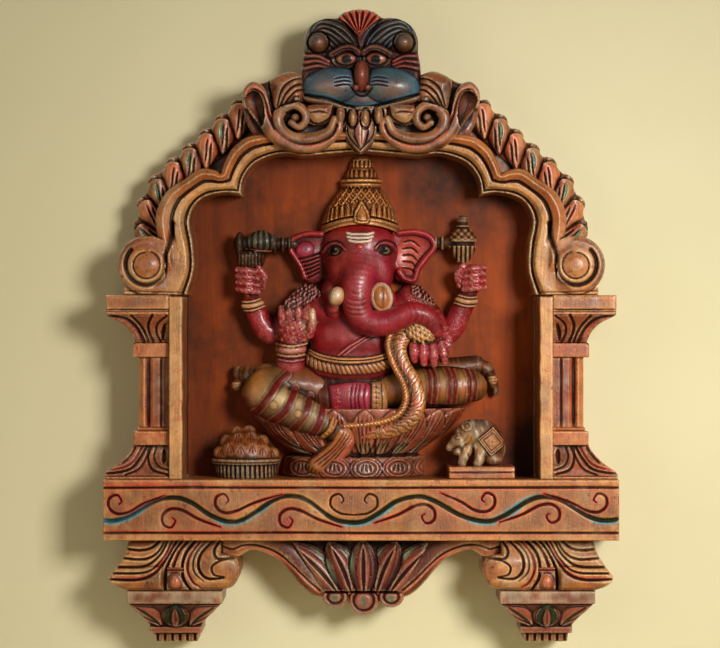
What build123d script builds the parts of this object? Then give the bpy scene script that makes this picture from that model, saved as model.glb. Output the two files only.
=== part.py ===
"""Wall shrine with a seated elephant-headed figure: a carved, painted wooden niche made of separate blocks.

Frame: +Z up, the viewer stands at -Y, and the wall is the plane Y = 0. The origin lies on the wall plane,
midway across, level with the top of the shelf on which the figure sits. Left and right are the viewer's.
Millimetres.
"""

import os

from build123d import *

# ---- driving dimensions ---------------------------------------------------------------------------
SHELF_WIDTH = 491.0
SHELF_HEIGHT = 58.0
SHELF_DEPTH = 92.0
BOARD = 12.0  # back board, shelf top and shelf bottom
PANEL = 14.0  # carved shelf front and shelf ends
LINE_INSET = 7.5  # the cut lines that frame the vine, from the panel's edges
LINE_WIDTH = 1.8
LINE_CUT = 1.5
NICHE_HALF = 169.0  # half the clear width of the niche
WALL_THICKNESS = 14.0
WALL_DEPTH = 86.0
CAP_TOP = 176.0  # top of the abacus slabs, where the arch stands
CAP_HEIGHT = 16.0
CAP_WIDE = 244.0  # outside edge of the abacus slabs
SHAFT_OUTSIDE = 213.5
SHAFT_BOTTOM = 49.0
SHAFT_TOP = 116.0
FLUTES = (-204.5, -191.0)
ARCH_DEPTH = 70.0
ARCH_CROWN = 334.0
FOLIAGE_DEPTH = 48.0
CREST_DEPTH = 80.0
CREST_BOARD = 14.0
PILLAR_DEPTH = 80.0
SHAFT_DEPTH = 72.0
BRACKET_DEPTH = 82.0
VALANCE_DEPTH = 72.0
PLINTH_TOP = -107.0  # where each bracket's foot begins
CUP_TOP = -119.0
CUP_BOTTOM = -142.0
BLOCK_TOP = -149.0
FOOT_BOTTOM = -158.0
BRACKET_X = 178.0  # centre of each bracket foot
DOWEL_RADIUS = 4.0
KEYHOLE_X = 62.0
KEYHOLE_Z = 292.0
KEYHOLE_RADIUS = 5.0
KEYHOLE_RECESS = 10.5
HANGER_PLATE = 2.5
SCREW_RADIUS = 1.75

HALF = SHELF_WIDTH / 2
WALL_OUTSIDE = NICHE_HALF + WALL_THICKNESS
CAP_BOTTOM = CAP_TOP - CAP_HEIGHT
FACE = Plane.XZ  # front view: local x is X and local y is Z; a positive extrusion runs towards the viewer

made = {}


def keep(builder, name):
    """Labels a finished piece and files it under its node name."""
    builder.part.label = name
    made[name] = builder


def keep_pair(builder, name):
    """Files a left piece and its mirror image on the right."""
    keep(builder, name + "_left")
    with BuildPart() as other:
        mirror(builder.part, about=Plane.YZ)
    keep(other, name + "_right")


def slab(x0, x1, z0, z1, depth0, depth1, mode=Mode.ADD):
    """A rectangular block between two distances from the wall."""
    with BuildSketch(FACE.offset(depth0)) as face:
        with Locations(((x0 + x1) / 2, (z0 + z1) / 2)):
            Rectangle(abs(x1 - x0), z1 - z0)
    extrude(face.sketch, amount=depth1 - depth0, mode=mode)


def rod(x, depth, z, length, radius, along):
    """A round rod centred on a point: along is the direction of its axis."""
    with BuildSketch(Plane(origin=Vector(x, -depth, z) - Vector(*along) * (length / 2), z_dir=along)) as end:
        Circle(radius)
    extrude(end.sketch, amount=length)


def limb(start, end, radius, end_radius):
    """A round limb that tapers between two points, with ball ends."""
    way = Vector(*end) - Vector(*start)
    near = Plane(origin=start, z_dir=way)
    with BuildSketch(near) as root:
        Circle(radius)
    with BuildSketch(near.offset(way.length)) as tip:
        Circle(end_radius)
    loft([root.sketch, tip.sketch])
    for point, size in ((start, radius), (end, end_radius)):
        with Locations(point):
            Sphere(size)


def ball(x, z, depth, radius, half_height, tilt=0.0):
    """An egg: a sphere stretched along its own axis, which leans tilt degrees to the left in front view."""
    egg = scale(Sphere(1, mode=Mode.PRIVATE), by=(radius, radius, half_height), mode=Mode.PRIVATE)
    add(Location((x, -depth, z), (0, -tilt, 0)) * egg)


def behind_board(depth=BOARD):
    """Flattens the back of a carved form where it is glued to the board."""
    slab(-HALF, HALF, FOOT_BOTTOM, 2 * ARCH_CROWN, -100, depth, mode=Mode.SUBTRACT)


# ---- back board: one plank behind the niche, the arch and the shelf -------------------------------
with BuildPart() as back_board:
    with BuildSketch(FACE) as board_face:
        with BuildLine() as board_edge:
            Polyline((0, -SHELF_HEIGHT), (PANEL - HALF, -SHELF_HEIGHT), (PANEL - HALF, 0), (-NICHE_HALF, 0),
                     (-NICHE_HALF, CAP_TOP), (-180, CAP_TOP), (-180, 240))
            ThreePointArc((-180, 240), (-165, 272), (-128, 284))
            ThreePointArc((-128, 284), (-112, 312), (-70, 322))
            Line((-70, 322), (0, 322))
            mirror(about=Plane.YZ)
        make_face()
    extrude(amount=BOARD)

# ---- shelf: a box with a carved front panel -------------------------------------------------------
with BuildPart() as shelf_front_panel:
    slab(-HALF, HALF, -SHELF_HEIGHT, 0, SHELF_DEPTH - PANEL, SHELF_DEPTH)
    for line_z in (-LINE_INSET, LINE_INSET - SHELF_HEIGHT):
        bottom, top = line_z - LINE_WIDTH / 2, line_z + LINE_WIDTH / 2
        slab(-HALF, HALF, bottom, top, SHELF_DEPTH - LINE_CUT, SHELF_DEPTH, mode=Mode.SUBTRACT)
keep(shelf_front_panel, "shelf_front_panel")

with BuildPart() as shelf_top_board:
    slab(PANEL - HALF, HALF - PANEL, -BOARD, 0, BOARD, SHELF_DEPTH - PANEL)

with BuildPart() as shelf_bottom_board:
    slab(PANEL - HALF, HALF - PANEL, -SHELF_HEIGHT, BOARD - SHELF_HEIGHT, BOARD, SHELF_DEPTH - PANEL)

with BuildPart() as shelf_end:
    slab(-HALF, PANEL - HALF, -SHELF_HEIGHT, 0, 0, SHELF_DEPTH - PANEL)
keep_pair(shelf_end, "shelf_end")

# ---- niche sides and pillars ----------------------------------------------------------------------
with BuildPart() as side_wall:
    slab(-WALL_OUTSIDE, -NICHE_HALF, 0, CAP_BOTTOM, 0, WALL_DEPTH)
keep_pair(side_wall, "side_wall")

with BuildPart() as abacus:
    slab(-CAP_WIDE, -NICHE_HALF, CAP_BOTTOM, CAP_TOP, 0, WALL_DEPTH + 2)
    fillet(abacus.edges().filter_by(Axis.Y).group_by(Axis.X)[0], radius=3)

with BuildPart() as capital:
    with BuildSketch(FACE) as bell:
        with BuildLine():
            Polyline((-WALL_OUTSIDE, CAP_BOTTOM), (-243, CAP_BOTTOM), (-242, CAP_BOTTOM - 4))
            ThreePointArc((-242, CAP_BOTTOM - 4), (-224, 145), (-215, 129))
            Polyline((-215, 129), (-218, 129), (-218, SHAFT_TOP), (-WALL_OUTSIDE, SHAFT_TOP),
                     (-WALL_OUTSIDE, CAP_BOTTOM))
        make_face()
    extrude(amount=PILLAR_DEPTH)

with BuildPart() as pillar_shaft:
    slab(-SHAFT_OUTSIDE, -WALL_OUTSIDE, SHAFT_BOTTOM, SHAFT_TOP, 0, SHAFT_DEPTH)
    chamfer(pillar_shaft.edges().filter_by(Axis.Z).group_by(Axis.Y)[0].group_by(Axis.X)[0], length=6)
    for flute_x in FLUTES:
        slab(flute_x - 1.8, flute_x + 1.8, SHAFT_BOTTOM, SHAFT_TOP, SHAFT_DEPTH - 2.5, SHAFT_DEPTH,
             mode=Mode.SUBTRACT)

with BuildPart() as pillar_base:
    with BuildSketch(FACE) as foot_face:
        with BuildLine():
            Polyline((-WALL_OUTSIDE, 0), (-245, 0), (-245, 4))
            ThreePointArc((-245, 4), (-226, 14), (-217.5, 31))
            Polyline((-217.5, 31), (-217.5, 45), (-215, 45), (-215, SHAFT_BOTTOM),
                     (-WALL_OUTSIDE, SHAFT_BOTTOM), (-WALL_OUTSIDE, 0))
        make_face()
    extrude(amount=PILLAR_DEPTH)

# ---- arch: two halves of a cusped moulding, each with a scroll at its foot ------------------------
SCROLL = (-205.7, 204.3)
SCROLL_RADIUS = 28.5
with BuildPart() as arch:
    with BuildSketch(FACE) as arch_face:
        with BuildLine():
            Line((-222, CAP_TOP), (-166, CAP_TOP))
            Spline((-166, CAP_TOP), (-160, 200), (-160.5, 225), (-164, 247), (-158, 263), (-146, 271),
                   (-130, 274), (-115, 271.5))
            Spline((-115, 271.5), (-113, 287), (-104, 300), (-90, 308), (-73, 311.5), (-55, 309))
            Polyline((-55, 309), (0, 314), (0, ARCH_CROWN), (-95, 330.5))
            Spline((-95, 330.5), (-110, 327.5), (-123, 317.5), (-130, 306), (-135, 293))
            Spline((-135, 293), (-141, 296), (-155, 297), (-170, 287), (-187, 275), (-197, 254), (-196, 231))
            Polyline((-196, 231), (-222, 215), (-222, CAP_TOP))
        make_face()
        with Locations(SCROLL):
            Circle(SCROLL_RADIUS)
        with Locations((SCROLL[0], CAP_TOP - 10)):
            Rectangle(80, 20, mode=Mode.SUBTRACT)
    extrude(amount=ARCH_DEPTH)
    with BuildSketch(FACE.offset(ARCH_DEPTH)) as scroll_eye:
        with Locations(SCROLL):
            Circle(14)
    extrude(amount=6)
    add(back_board.part, mode=Mode.SUBTRACT)

FOLIAGE_LEAVES = 9
with BuildPart() as foliage:
    with BuildLine(Plane.XY, mode=Mode.PRIVATE):
        spine = Spline((-204, 241), (-200, 262), (-187, 284), (-165, 303), (-139, 326), (-112, 350))
    with BuildSketch(FACE) as leaves:
        for leaf in range(FOLIAGE_LEAVES):
            with Locations(spine @ (leaf / (FOLIAGE_LEAVES - 1))):
                Circle(13.5)
    extrude(leaves.sketch, amount=FOLIAGE_DEPTH)
    add(arch.part, mode=Mode.SUBTRACT)
    add(back_board.part, mode=Mode.SUBTRACT)

# ---- crest: grotesque mask between two leaf scrolls on a backing board ----------------------------
with BuildPart() as crest_scroll:
    with BuildSketch(FACE.offset(CREST_BOARD)) as scroll_face:
        with BuildLine():
            Spline((-17, 338), (-37, 321), (-54, 313.5), (-68, 315), (-81, 325), (-90, 339))
            Spline((-90, 339), (-98, 345), (-113, 358), (-111, 372), (-97, 380), (-84, 382), (-70, 390),
                   (-57, 386))
            Polyline((-57, 386), (-55, 361), (-25, 353), (-17, 338))
        make_face()
    extrude(amount=CREST_DEPTH - CREST_BOARD - 2)
    with BuildSketch(FACE.offset(CREST_DEPTH - 2)) as leaf_eye:
        with Locations((-63, 343.5)):
            Circle(15)
    extrude(amount=6, taper=20)
    add(arch.part, mode=Mode.SUBTRACT)
    add(foliage.part, mode=Mode.SUBTRACT)

with BuildPart() as crest_mask:
    with BuildSketch(FACE.offset(CREST_BOARD)) as mask_face:
        with BuildLine():
            Spline((0, 353), (-30, 357), (-51, 362), (-57, 374), (-56, 392), (-54, 412), (-50, 432),
                   (-36, 442), (-23, 442), (0, 450.6), tangents=((-1, 0), (1, 0)))
            mirror(about=Plane.YZ)
        make_face()
    extrude(amount=CREST_DEPTH - CREST_BOARD - 18)
    for side in (-1, 1):
        ball(side * 27, 376, 58, 20, 28, tilt=80 * side)  # cheek
        ball(side * 40, 419, 58, 9, 9)  # curl end
        ball(side * 15, 401, 60, 7, 7)  # eye
    ball(0, 385, 66, 8, 15)  # nose
    with BuildSketch(FACE.offset(60)) as fan:
        with Locations((0, 430)):
            Ellipse(18, 18)
    extrude(amount=10, taper=30)
    add(arch.part, mode=Mode.SUBTRACT)
    for half_scroll in (crest_scroll.part, mirror(crest_scroll.part, about=Plane.YZ, mode=Mode.PRIVATE)):
        add(half_scroll, mode=Mode.SUBTRACT)

with BuildPart() as crest_pendant:
    with BuildSketch(FACE.offset(ARCH_DEPTH)) as pendant_face:
        with BuildLine():
            Spline((0, 311), (-9, 315), (-14.5, 327), (-14, 340), (-16, 352),
                   tangents=((-1, 0.2), (-0.3, 1)))
            Line((-16, 352), (0, 352))
            mirror(about=Plane.YZ)
        make_face()
    extrude(amount=14)
    for tooth_x in (-10.5, -3.5, 3.5, 10.5):
        ball(tooth_x, 345, ARCH_DEPTH + 11, 3, 7)
    add(crest_mask.part, mode=Mode.SUBTRACT)
    for half_scroll in (crest_scroll.part, mirror(crest_scroll.part, about=Plane.YZ, mode=Mode.PRIVATE)):
        add(half_scroll, mode=Mode.SUBTRACT)

with BuildPart() as crest_board:
    with BuildSketch(FACE) as crest_back:
        with BuildLine():
            Spline((0, 446), (-30, 436), (-48, 420), (-50, 392), (-66, 384), (-95, 374), (-104, 360),
                   tangents=((-1, 0), (0, -1)))
            Polyline((-104, 360), (-84, 322), (0, 322))
            mirror(about=Plane.YZ)
        make_face()
    extrude(amount=CREST_BOARD)
    for block in (arch.part, foliage.part):
        add(block, mode=Mode.SUBTRACT)
        add(mirror(block, about=Plane.YZ, mode=Mode.PRIVATE), mode=Mode.SUBTRACT)
    add(back_board.part, mode=Mode.SUBTRACT)

# ---- brackets under the shelf ---------------------------------------------------------------------
SHELF_UNDER = -SHELF_HEIGHT
with BuildPart() as corbel:
    with BuildSketch(FACE) as corbel_face:
        with BuildLine():
            Line((-134, SHELF_UNDER), (-223, SHELF_UNDER))
            Spline((-223, SHELF_UNDER), (-230, -76), (-241, -94), (-235, -102), (-222, PLINTH_TOP))
            Line((-222, PLINTH_TOP), (-137, PLINTH_TOP))
            Spline((-137, PLINTH_TOP), (-121, -104), (-115.5, -90), (-119, -76), (-134, -72))
            Line((-134, -72), (-134, SHELF_UNDER))
        make_face()
    extrude(amount=BRACKET_DEPTH)
    slab(-HALF, 0, FOOT_BOTTOM, PLINTH_TOP, 0, BRACKET_DEPTH, mode=Mode.SUBTRACT)

with BuildPart() as corbel_foot:
    slab(-BRACKET_X - 45.5, 45.5 - BRACKET_X, CUP_TOP, PLINTH_TOP, 0, BRACKET_DEPTH)
    with BuildSketch(Plane.XY.offset(CUP_BOTTOM)) as cup_bottom:
        with Locations((-BRACKET_X, -30)):
            Rectangle(49, 60)
    with BuildSketch(Plane.XY.offset(CUP_TOP)) as cup_top:
        with Locations((-BRACKET_X, -39)):
            Rectangle(89, 78)
    loft([cup_bottom.sketch, cup_top.sketch])
    slab(-BRACKET_X - 25, 25 - BRACKET_X, BLOCK_TOP, CUP_BOTTOM, 0, 62)
    slab(-BRACKET_X - 21.5, 21.5 - BRACKET_X, FOOT_BOTTOM, BLOCK_TOP, 0, 58)
    for notch in range(6):  # dentils on the front of the lowest block
        notch_x = -BRACKET_X - 18 + 7.2 * notch
        slab(notch_x - 1, notch_x + 1, FOOT_BOTTOM, BLOCK_TOP - 1, 56, 60, mode=Mode.SUBTRACT)

with BuildPart() as valance_lotus:
    with BuildSketch(FACE) as lotus_face:
        with BuildLine():
            Polyline((0, SHELF_UNDER), (-68, SHELF_UNDER), (-36, -108), (-34, -120), (-26, -125),
                     (-16, -121), (-13, -127), (-6, -131.5), (0, -132))
            mirror(about=Plane.YZ)
        make_face()
    extrude(amount=VALANCE_DEPTH)

with BuildPart() as valance_arm:
    with BuildSketch(FACE) as arm_face:
        with BuildLine():
            Polyline((-68, SHELF_UNDER), (-134, SHELF_UNDER), (-134, -72))
            Spline((-134, -72), (-119, -76), (-106, -69.5), (-94, -72), (-81, -78), (-60, -102), (-43, -117))
            Polyline((-43, -117), (-36, -108), (-68, SHELF_UNDER))
        make_face()
    extrude(amount=VALANCE_DEPTH - 4)
    add(corbel.part, mode=Mode.SUBTRACT)
    add(valance_lotus.part, mode=Mode.SUBTRACT)

# ---- seated figure, carved in blocks that are glued to the back board -----------------------------
with BuildPart() as lotus_seat:
    for low, high, wide_low, wide_high, deep_low, deep_high in (
        (0, 20, 74, 62, 60, 50),
        (20, 64, 68, 104, 54, 60),
    ):
        rims = []
        for level, wide, deep in ((low, wide_low, deep_low), (high, wide_high, deep_high)):
            with BuildSketch(Plane.XY.offset(level)) as rim:
                with Locations((-4, -BOARD)):
                    Ellipse(wide, deep)
            rims.append(rim.sketch)
        loft(rims)
    behind_board()

with BuildPart() as tusks:  # let into sockets in the head
    ball(-22, 174, 64, 6, 9, tilt=20)
    ball(20, 173, 66, 9, 12, tilt=-15)

with BuildPart() as head:
    ball(-3, 212, 24, 36, 33)
    trunk_points = ((-4, -52, 205), (-5, -62, 172), (-2, -66, 150), (16, -68, 141), (42, -68, 150),
                    (60, -66, 148))
    trunk_radii = (18, 13, 12.5, 12, 11, 9)
    for start, end, radius, end_radius in zip(trunk_points, trunk_points[1:], trunk_radii, trunk_radii[1:]):
        limb(start, end, radius, end_radius)
    behind_board()
    add(tusks.part, mode=Mode.SUBTRACT)

with BuildPart() as torso:
    ball(-5, 118, 20, 44, 38)  # belly
    ball(-3, 154, 20, 37, 26)  # chest
    for side in (-1, 1):
        ball(-3 + side * 44, 160, 26, 14, 22, tilt=-25 * side)  # shoulder
    slab(-40, 32, 60, 98, BOARD, 60)  # lap cloth hanging between the knees
    behind_board()
    for block in (lotus_seat.part, head.part, tusks.part):
        add(block, mode=Mode.SUBTRACT)

with BuildPart() as crown:
    with BuildSketch(Plane(origin=(-1, -22, 0), x_dir=(1, 0, 0), z_dir=(0, -1, 0))) as crown_half:
        with BuildLine():
            Polyline((0, 232), (38, 232), (38, 240), (36, 243))
            ThreePointArc((36, 243), (32, 262), (22, 277))
            Polyline((22, 277), (23, 280), (20, 289), (15, 290), (13, 298), (7, 302), (5, 309), (0, 311),
                     (0, 232))
        make_face()
    revolve(crown_half.sketch, axis=Axis((-1, -22, 0), (0, 0, 1)))
    behind_board()
    add(head.part, mode=Mode.SUBTRACT)

with BuildPart() as ear:
    with BuildSketch(FACE.offset(BOARD)) as ear_face:
        with BuildLine():
            Spline((-30, 236), (-52, 240), (-68, 232), (-66, 214), (-56, 200), (-38, 184), (-30, 190))
            Line((-30, 190), (-30, 236))
        make_face()
    extrude(amount=18)
    add(head.part, mode=Mode.SUBTRACT)
    add(crown.part, mode=Mode.SUBTRACT)

with BuildPart() as ear_other:
    mirror(ear.part, about=Plane(origin=(1, 0, 0), z_dir=(1, 0, 0)))
    add(head.part, mode=Mode.SUBTRACT)
    add(crown.part, mode=Mode.SUBTRACT)

# the rear arms hold emblems beside the ears
with BuildPart() as rear_arm_left:
    limb((-82, -26, 142), (-105, -28, 168), 13, 9)
    limb((-105, -28, 168), (-108, -32, 190), 12, 15)
    behind_board()
    add(torso.part, mode=Mode.SUBTRACT)

with BuildPart() as rear_arm_right:
    limb((76, -26, 140), (102, -28, 170), 12, 9)
    limb((102, -28, 170), (108, -32, 192), 12, 15)
    behind_board()
    add(torso.part, mode=Mode.SUBTRACT)

with BuildPart() as emblem_left:
    limb((-112, -30, 226), (-90, -30, 226), 13, 12)
    limb((-84, -28, 226), (-68, -26, 226), 6, 4)
    behind_board()
    for block in (rear_arm_left.part, ear.part):
        add(block, mode=Mode.SUBTRACT)

with BuildPart() as emblem_right:
    limb((100, -30, 220), (100, -30, 236), 11, 13)
    limb((100, -28, 240), (98, -26, 250), 9, 5)
    limb((88, -28, 226), (72, -26, 226), 6, 4)
    behind_board()
    for block in (rear_arm_right.part, ear_other.part):
        add(block, mode=Mode.SUBTRACT)

with BuildPart() as front_arm_left:  # raised in blessing
    limb((-64, -44, 158), (-68, -52, 124), 17, 14)
    limb((-68, -52, 124), (-69, -50, 112), 15, 13)
    limb((-58, -34, 172), (-62, -36, 166), 15, 15)
    behind_board()
    for block in (torso.part, head.part, rear_arm_left.part):
        add(block, mode=Mode.SUBTRACT)

with BuildPart() as front_arm_right:  # lowered, with a sweet in the palm
    limb((60, -34, 172), (74, -42, 148), 15, 12)
    limb((74, -42, 148), (64, -56, 124), 13, 17)
    behind_board()
    for block in (torso.part, head.part, rear_arm_right.part):
        add(block, mode=Mode.SUBTRACT)

with BuildPart() as leg_left:  # knee out, shin crossing down to the middle, foot hanging over the lotus
    limb((-45, -36, 88), (-98, -44, 84), 20, 17)
    limb((-98, -44, 84), (-34, -66, 50), 17, 13)
    limb((-30, -68, 46), (-44, -72, 14), 11, 8)
    behind_board()
    for block in (lotus_seat.part, torso.part, front_arm_left.part):
        add(block, mode=Mode.SUBTRACT)

with BuildPart() as leg_right:  # folded flat, knee out
    limb((40, -40, 84), (104, -42, 86), 20, 17)
    behind_board()
    for block in (lotus_seat.part, torso.part, front_arm_right.part):
        add(block, mode=Mode.SUBTRACT)

with BuildPart() as sash:  # gilt cloth from the chest round the lap
    limb((26, -60, 132), (42, -68, 92), 6, 7)
    limb((42, -68, 92), (18, -72, 62), 7, 7)
    limb((18, -72, 62), (-26, -72, 54), 7, 6)
    for block in (torso, leg_left, leg_right, lotus_seat, front_arm_right, head):
        add(block.part, mode=Mode.SUBTRACT)

with BuildPart() as bolster:  # the cushion behind the hips, with knotted ends
    limb((-100, -26, 94), (100, -26, 100), 14, 14)
    limb((-118, -26, 88), (-100, -26, 94), 6, 12)
    limb((100, -26, 100), (128, -26, 106), 12, 7)
    behind_board()
    for block in (torso.part, leg_left.part, leg_right.part, lotus_seat.part):
        add(block, mode=Mode.SUBTRACT)
    for block in (front_arm_left.part, front_arm_right.part, rear_arm_left.part, rear_arm_right.part):
        add(block, mode=Mode.SUBTRACT)

# ---- offerings on the shelf -----------------------------------------------------------------------
with BuildPart() as sweets_bowl:
    with BuildSketch(Plane(origin=(-111, -47, 0), x_dir=(1, 0, 0), z_dir=(0, -1, 0))) as bowl_half:
        with BuildLine():
            Polyline((0, 0), (27, 0), (31, 15), (34, 16), (34, 20), (31, 21), (0, 21), (0, 0))
        make_face()
    revolve(bowl_half.sketch, axis=Axis((-111, -47, 0), (0, 0, 1)))
    ball(-111, 20, 47, 30, 24)  # heaped sweets
    slab(-150, -70, -10, 0, 0, 100, mode=Mode.SUBTRACT)
    add(lotus_seat.part, mode=Mode.SUBTRACT)
    add(leg_left.part, mode=Mode.SUBTRACT)

with BuildPart() as mouse_plinth:
    slab(84, 147, 0, 11, BOARD, 78)
    add(lotus_seat.part, mode=Mode.SUBTRACT)

with BuildPart() as mouse:
    ball(116, 32, 46, 18, 24, tilt=12)  # haunches
    ball(98, 38, 52, 11, 15, tilt=-50)  # head
    slab(80, 140, -20, 11, 0, 100, mode=Mode.SUBTRACT)
    behind_board()
    for block in (lotus_seat.part, leg_right.part):
        add(block, mode=Mode.SUBTRACT)

# ---- dowels, the loose tenon in the arch, screws and keyhole hangers ------------------------------
PILLAR_DOWEL_X = 200.0
DOWEL_DEPTH = 40.0

with BuildPart() as pillar_dowels:
    for side in (-1, 1):
        for middle_z in (1, SHAFT_BOTTOM, SHAFT_TOP, CAP_BOTTOM, CAP_TOP):
            rod(side * PILLAR_DOWEL_X, DOWEL_DEPTH, middle_z, 18, DOWEL_RADIUS, (0, 0, 1))

with BuildPart() as crest_dowels:
    for side in (-1, 1):
        rod(side * 25, CREST_BOARD, 405, 20, DOWEL_RADIUS, (0, -1, 0))
        rod(side * 50, ARCH_DEPTH - 4, 322, 16, 2.5, (0, -1, 0))

with BuildPart() as bracket_dowels:
    for side in (-1, 1):
        rod(side * BRACKET_X, DOWEL_DEPTH, SHELF_UNDER, 20, DOWEL_RADIUS, (0, 0, 1))
        rod(side * BRACKET_X, DOWEL_DEPTH, PLINTH_TOP, 20, DOWEL_RADIUS, (0, 0, 1))
        rod(side * 100, DOWEL_DEPTH, SHELF_UNDER, 14, 3, (0, 0, 1))
    rod(0, DOWEL_DEPTH, SHELF_UNDER, 20, DOWEL_RADIUS, (0, 0, 1))

with BuildPart() as arch_tenon:
    slab(-14, 14, 314, 326, 34, 42)


def countersunk_screw(x, z, length, radius, head_radius):
    """A wood screw driven from the wall side, its head flush with the back."""
    rod(x, length / 2, z, length, radius, (0, -1, 0))
    with BuildSketch(FACE) as head_top:
        with Locations((x, z)):
            Circle(head_radius)
    with BuildSketch(FACE.offset(head_radius - radius)) as head_root:
        with Locations((x, z)):
            Circle(radius)
    loft([head_top.sketch, head_root.sketch])


with BuildPart() as block_screws:  # they hold the lotus, the torso and the head to the back board
    for screw_z in (36, 130, 205):
        countersunk_screw(7, screw_z, 36, 2.25, 4.5)

with BuildPart() as hanger_screws:
    for side in (-1, 1):
        for step in (-13, 17):
            countersunk_screw(side * KEYHOLE_X, KEYHOLE_Z + step, 10, SCREW_RADIUS, 3.5)

with BuildPart() as keyhole_hangers:  # let in flush; the wall screw's head goes in and slides up
    for side in (-1, 1):
        with BuildSketch(FACE) as plate:
            with Locations((side * KEYHOLE_X, KEYHOLE_Z + 2)):
                RectangleRounded(18, 44, 4)
            with Locations((side * KEYHOLE_X, KEYHOLE_Z)):
                Circle(KEYHOLE_RADIUS, mode=Mode.SUBTRACT)
            with Locations((side * KEYHOLE_X, KEYHOLE_Z + 5)):
                SlotCenterToCenter(10, 5, rotation=90, mode=Mode.SUBTRACT)
        extrude(plate.sketch, amount=HANGER_PLATE)
    add(hanger_screws.part, mode=Mode.SUBTRACT)

with BuildPart() as board_fitted:
    add(back_board.part)
    for side in (-1, 1):
        with BuildSketch(FACE) as let_in:
            with Locations((side * KEYHOLE_X, KEYHOLE_Z + 2)):
                RectangleRounded(18, 44, 4)
        extrude(let_in.sketch, amount=HANGER_PLATE, mode=Mode.SUBTRACT)
        slab(side * KEYHOLE_X - 6, side * KEYHOLE_X + 6, KEYHOLE_Z - 7, KEYHOLE_Z + 12, 0, KEYHOLE_RECESS,
             mode=Mode.SUBTRACT)
    add(hanger_screws.part, mode=Mode.SUBTRACT)
    add(block_screws.part, mode=Mode.SUBTRACT)
keep(board_fitted, "back_board")

# ---- fit the fasteners and file every piece -------------------------------------------------------


def keep_bored(builder, name, *fasteners, both_sides=False):
    """Bores a piece for its fasteners and files it; with both_sides, its mirror image too."""
    with BuildPart() as bored:
        add(builder.part)
        for fastener in fasteners:
            add(fastener.part, mode=Mode.SUBTRACT)
    if both_sides:
        keep_pair(bored, name)
    else:
        keep(bored, name)


keep_bored(shelf_top_board, "shelf_top_board", pillar_dowels)
keep_bored(shelf_bottom_board, "shelf_bottom_board", bracket_dowels)
keep_bored(abacus, "abacus", pillar_dowels, both_sides=True)
keep_bored(capital, "capital", pillar_dowels, both_sides=True)
keep_bored(pillar_shaft, "pillar_shaft", pillar_dowels, both_sides=True)
keep_bored(pillar_base, "pillar_base", pillar_dowels, both_sides=True)
keep_bored(arch, "arch", pillar_dowels, crest_dowels, arch_tenon, both_sides=True)
keep_bored(foliage, "foliage", both_sides=True)
keep_bored(crest_scroll, "crest_scroll", crest_dowels, both_sides=True)
keep_bored(crest_mask, "crest_mask", crest_dowels)
keep_bored(crest_pendant, "crest_pendant")
keep_bored(crest_board, "crest_board", crest_dowels)
keep_bored(corbel, "corbel", bracket_dowels, both_sides=True)
keep_bored(corbel_foot, "corbel_foot", bracket_dowels, both_sides=True)
keep_bored(valance_arm, "valance_arm", bracket_dowels, both_sides=True)
keep_bored(valance_lotus, "valance_lotus", bracket_dowels)
keep_bored(lotus_seat, "lotus_seat", block_screws)
keep_bored(torso, "torso", block_screws)
keep_bored(head, "elephant_head", block_screws)
for figure_piece, figure_name in (
    (crown, "crown"), (ear, "ear_left"), (ear_other, "ear_right"), (tusks, "tusks"),
    (rear_arm_left, "rear_arm_left"), (rear_arm_right, "rear_arm_right"),
    (emblem_left, "emblem_left"), (emblem_right, "emblem_right"),
    (front_arm_left, "front_arm_left"), (front_arm_right, "front_arm_right"),
    (leg_left, "leg_left"), (leg_right, "leg_right"), (sash, "sash"), (bolster, "bolster"),
    (sweets_bowl, "sweets_bowl"), (mouse, "mouse"), (mouse_plinth, "mouse_plinth"),
    (pillar_dowels, "pillar_dowels"), (crest_dowels, "crest_dowels"), (bracket_dowels, "bracket_dowels"),
    (arch_tenon, "arch_tenon"), (block_screws, "block_screws"), (hanger_screws, "hanger_screws"),
    (keyhole_hangers, "keyhole_hangers"),
):
    keep(figure_piece, figure_name)

os.makedirs("parts", exist_ok=True)
for node, piece in made.items():
    export_step(piece.part, f"parts/{node}.step")
print(f"{len(made)} pieces written")
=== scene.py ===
"""Looks of the carved wall shrine: every carved block, its paint, its varnish, and the wall it hangs on.

Carving is done in millimetres, on grids of distances that are meshed at the end: x runs across, z up and d
out from the wall, in the frame of the CAD.
"""

import math

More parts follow.
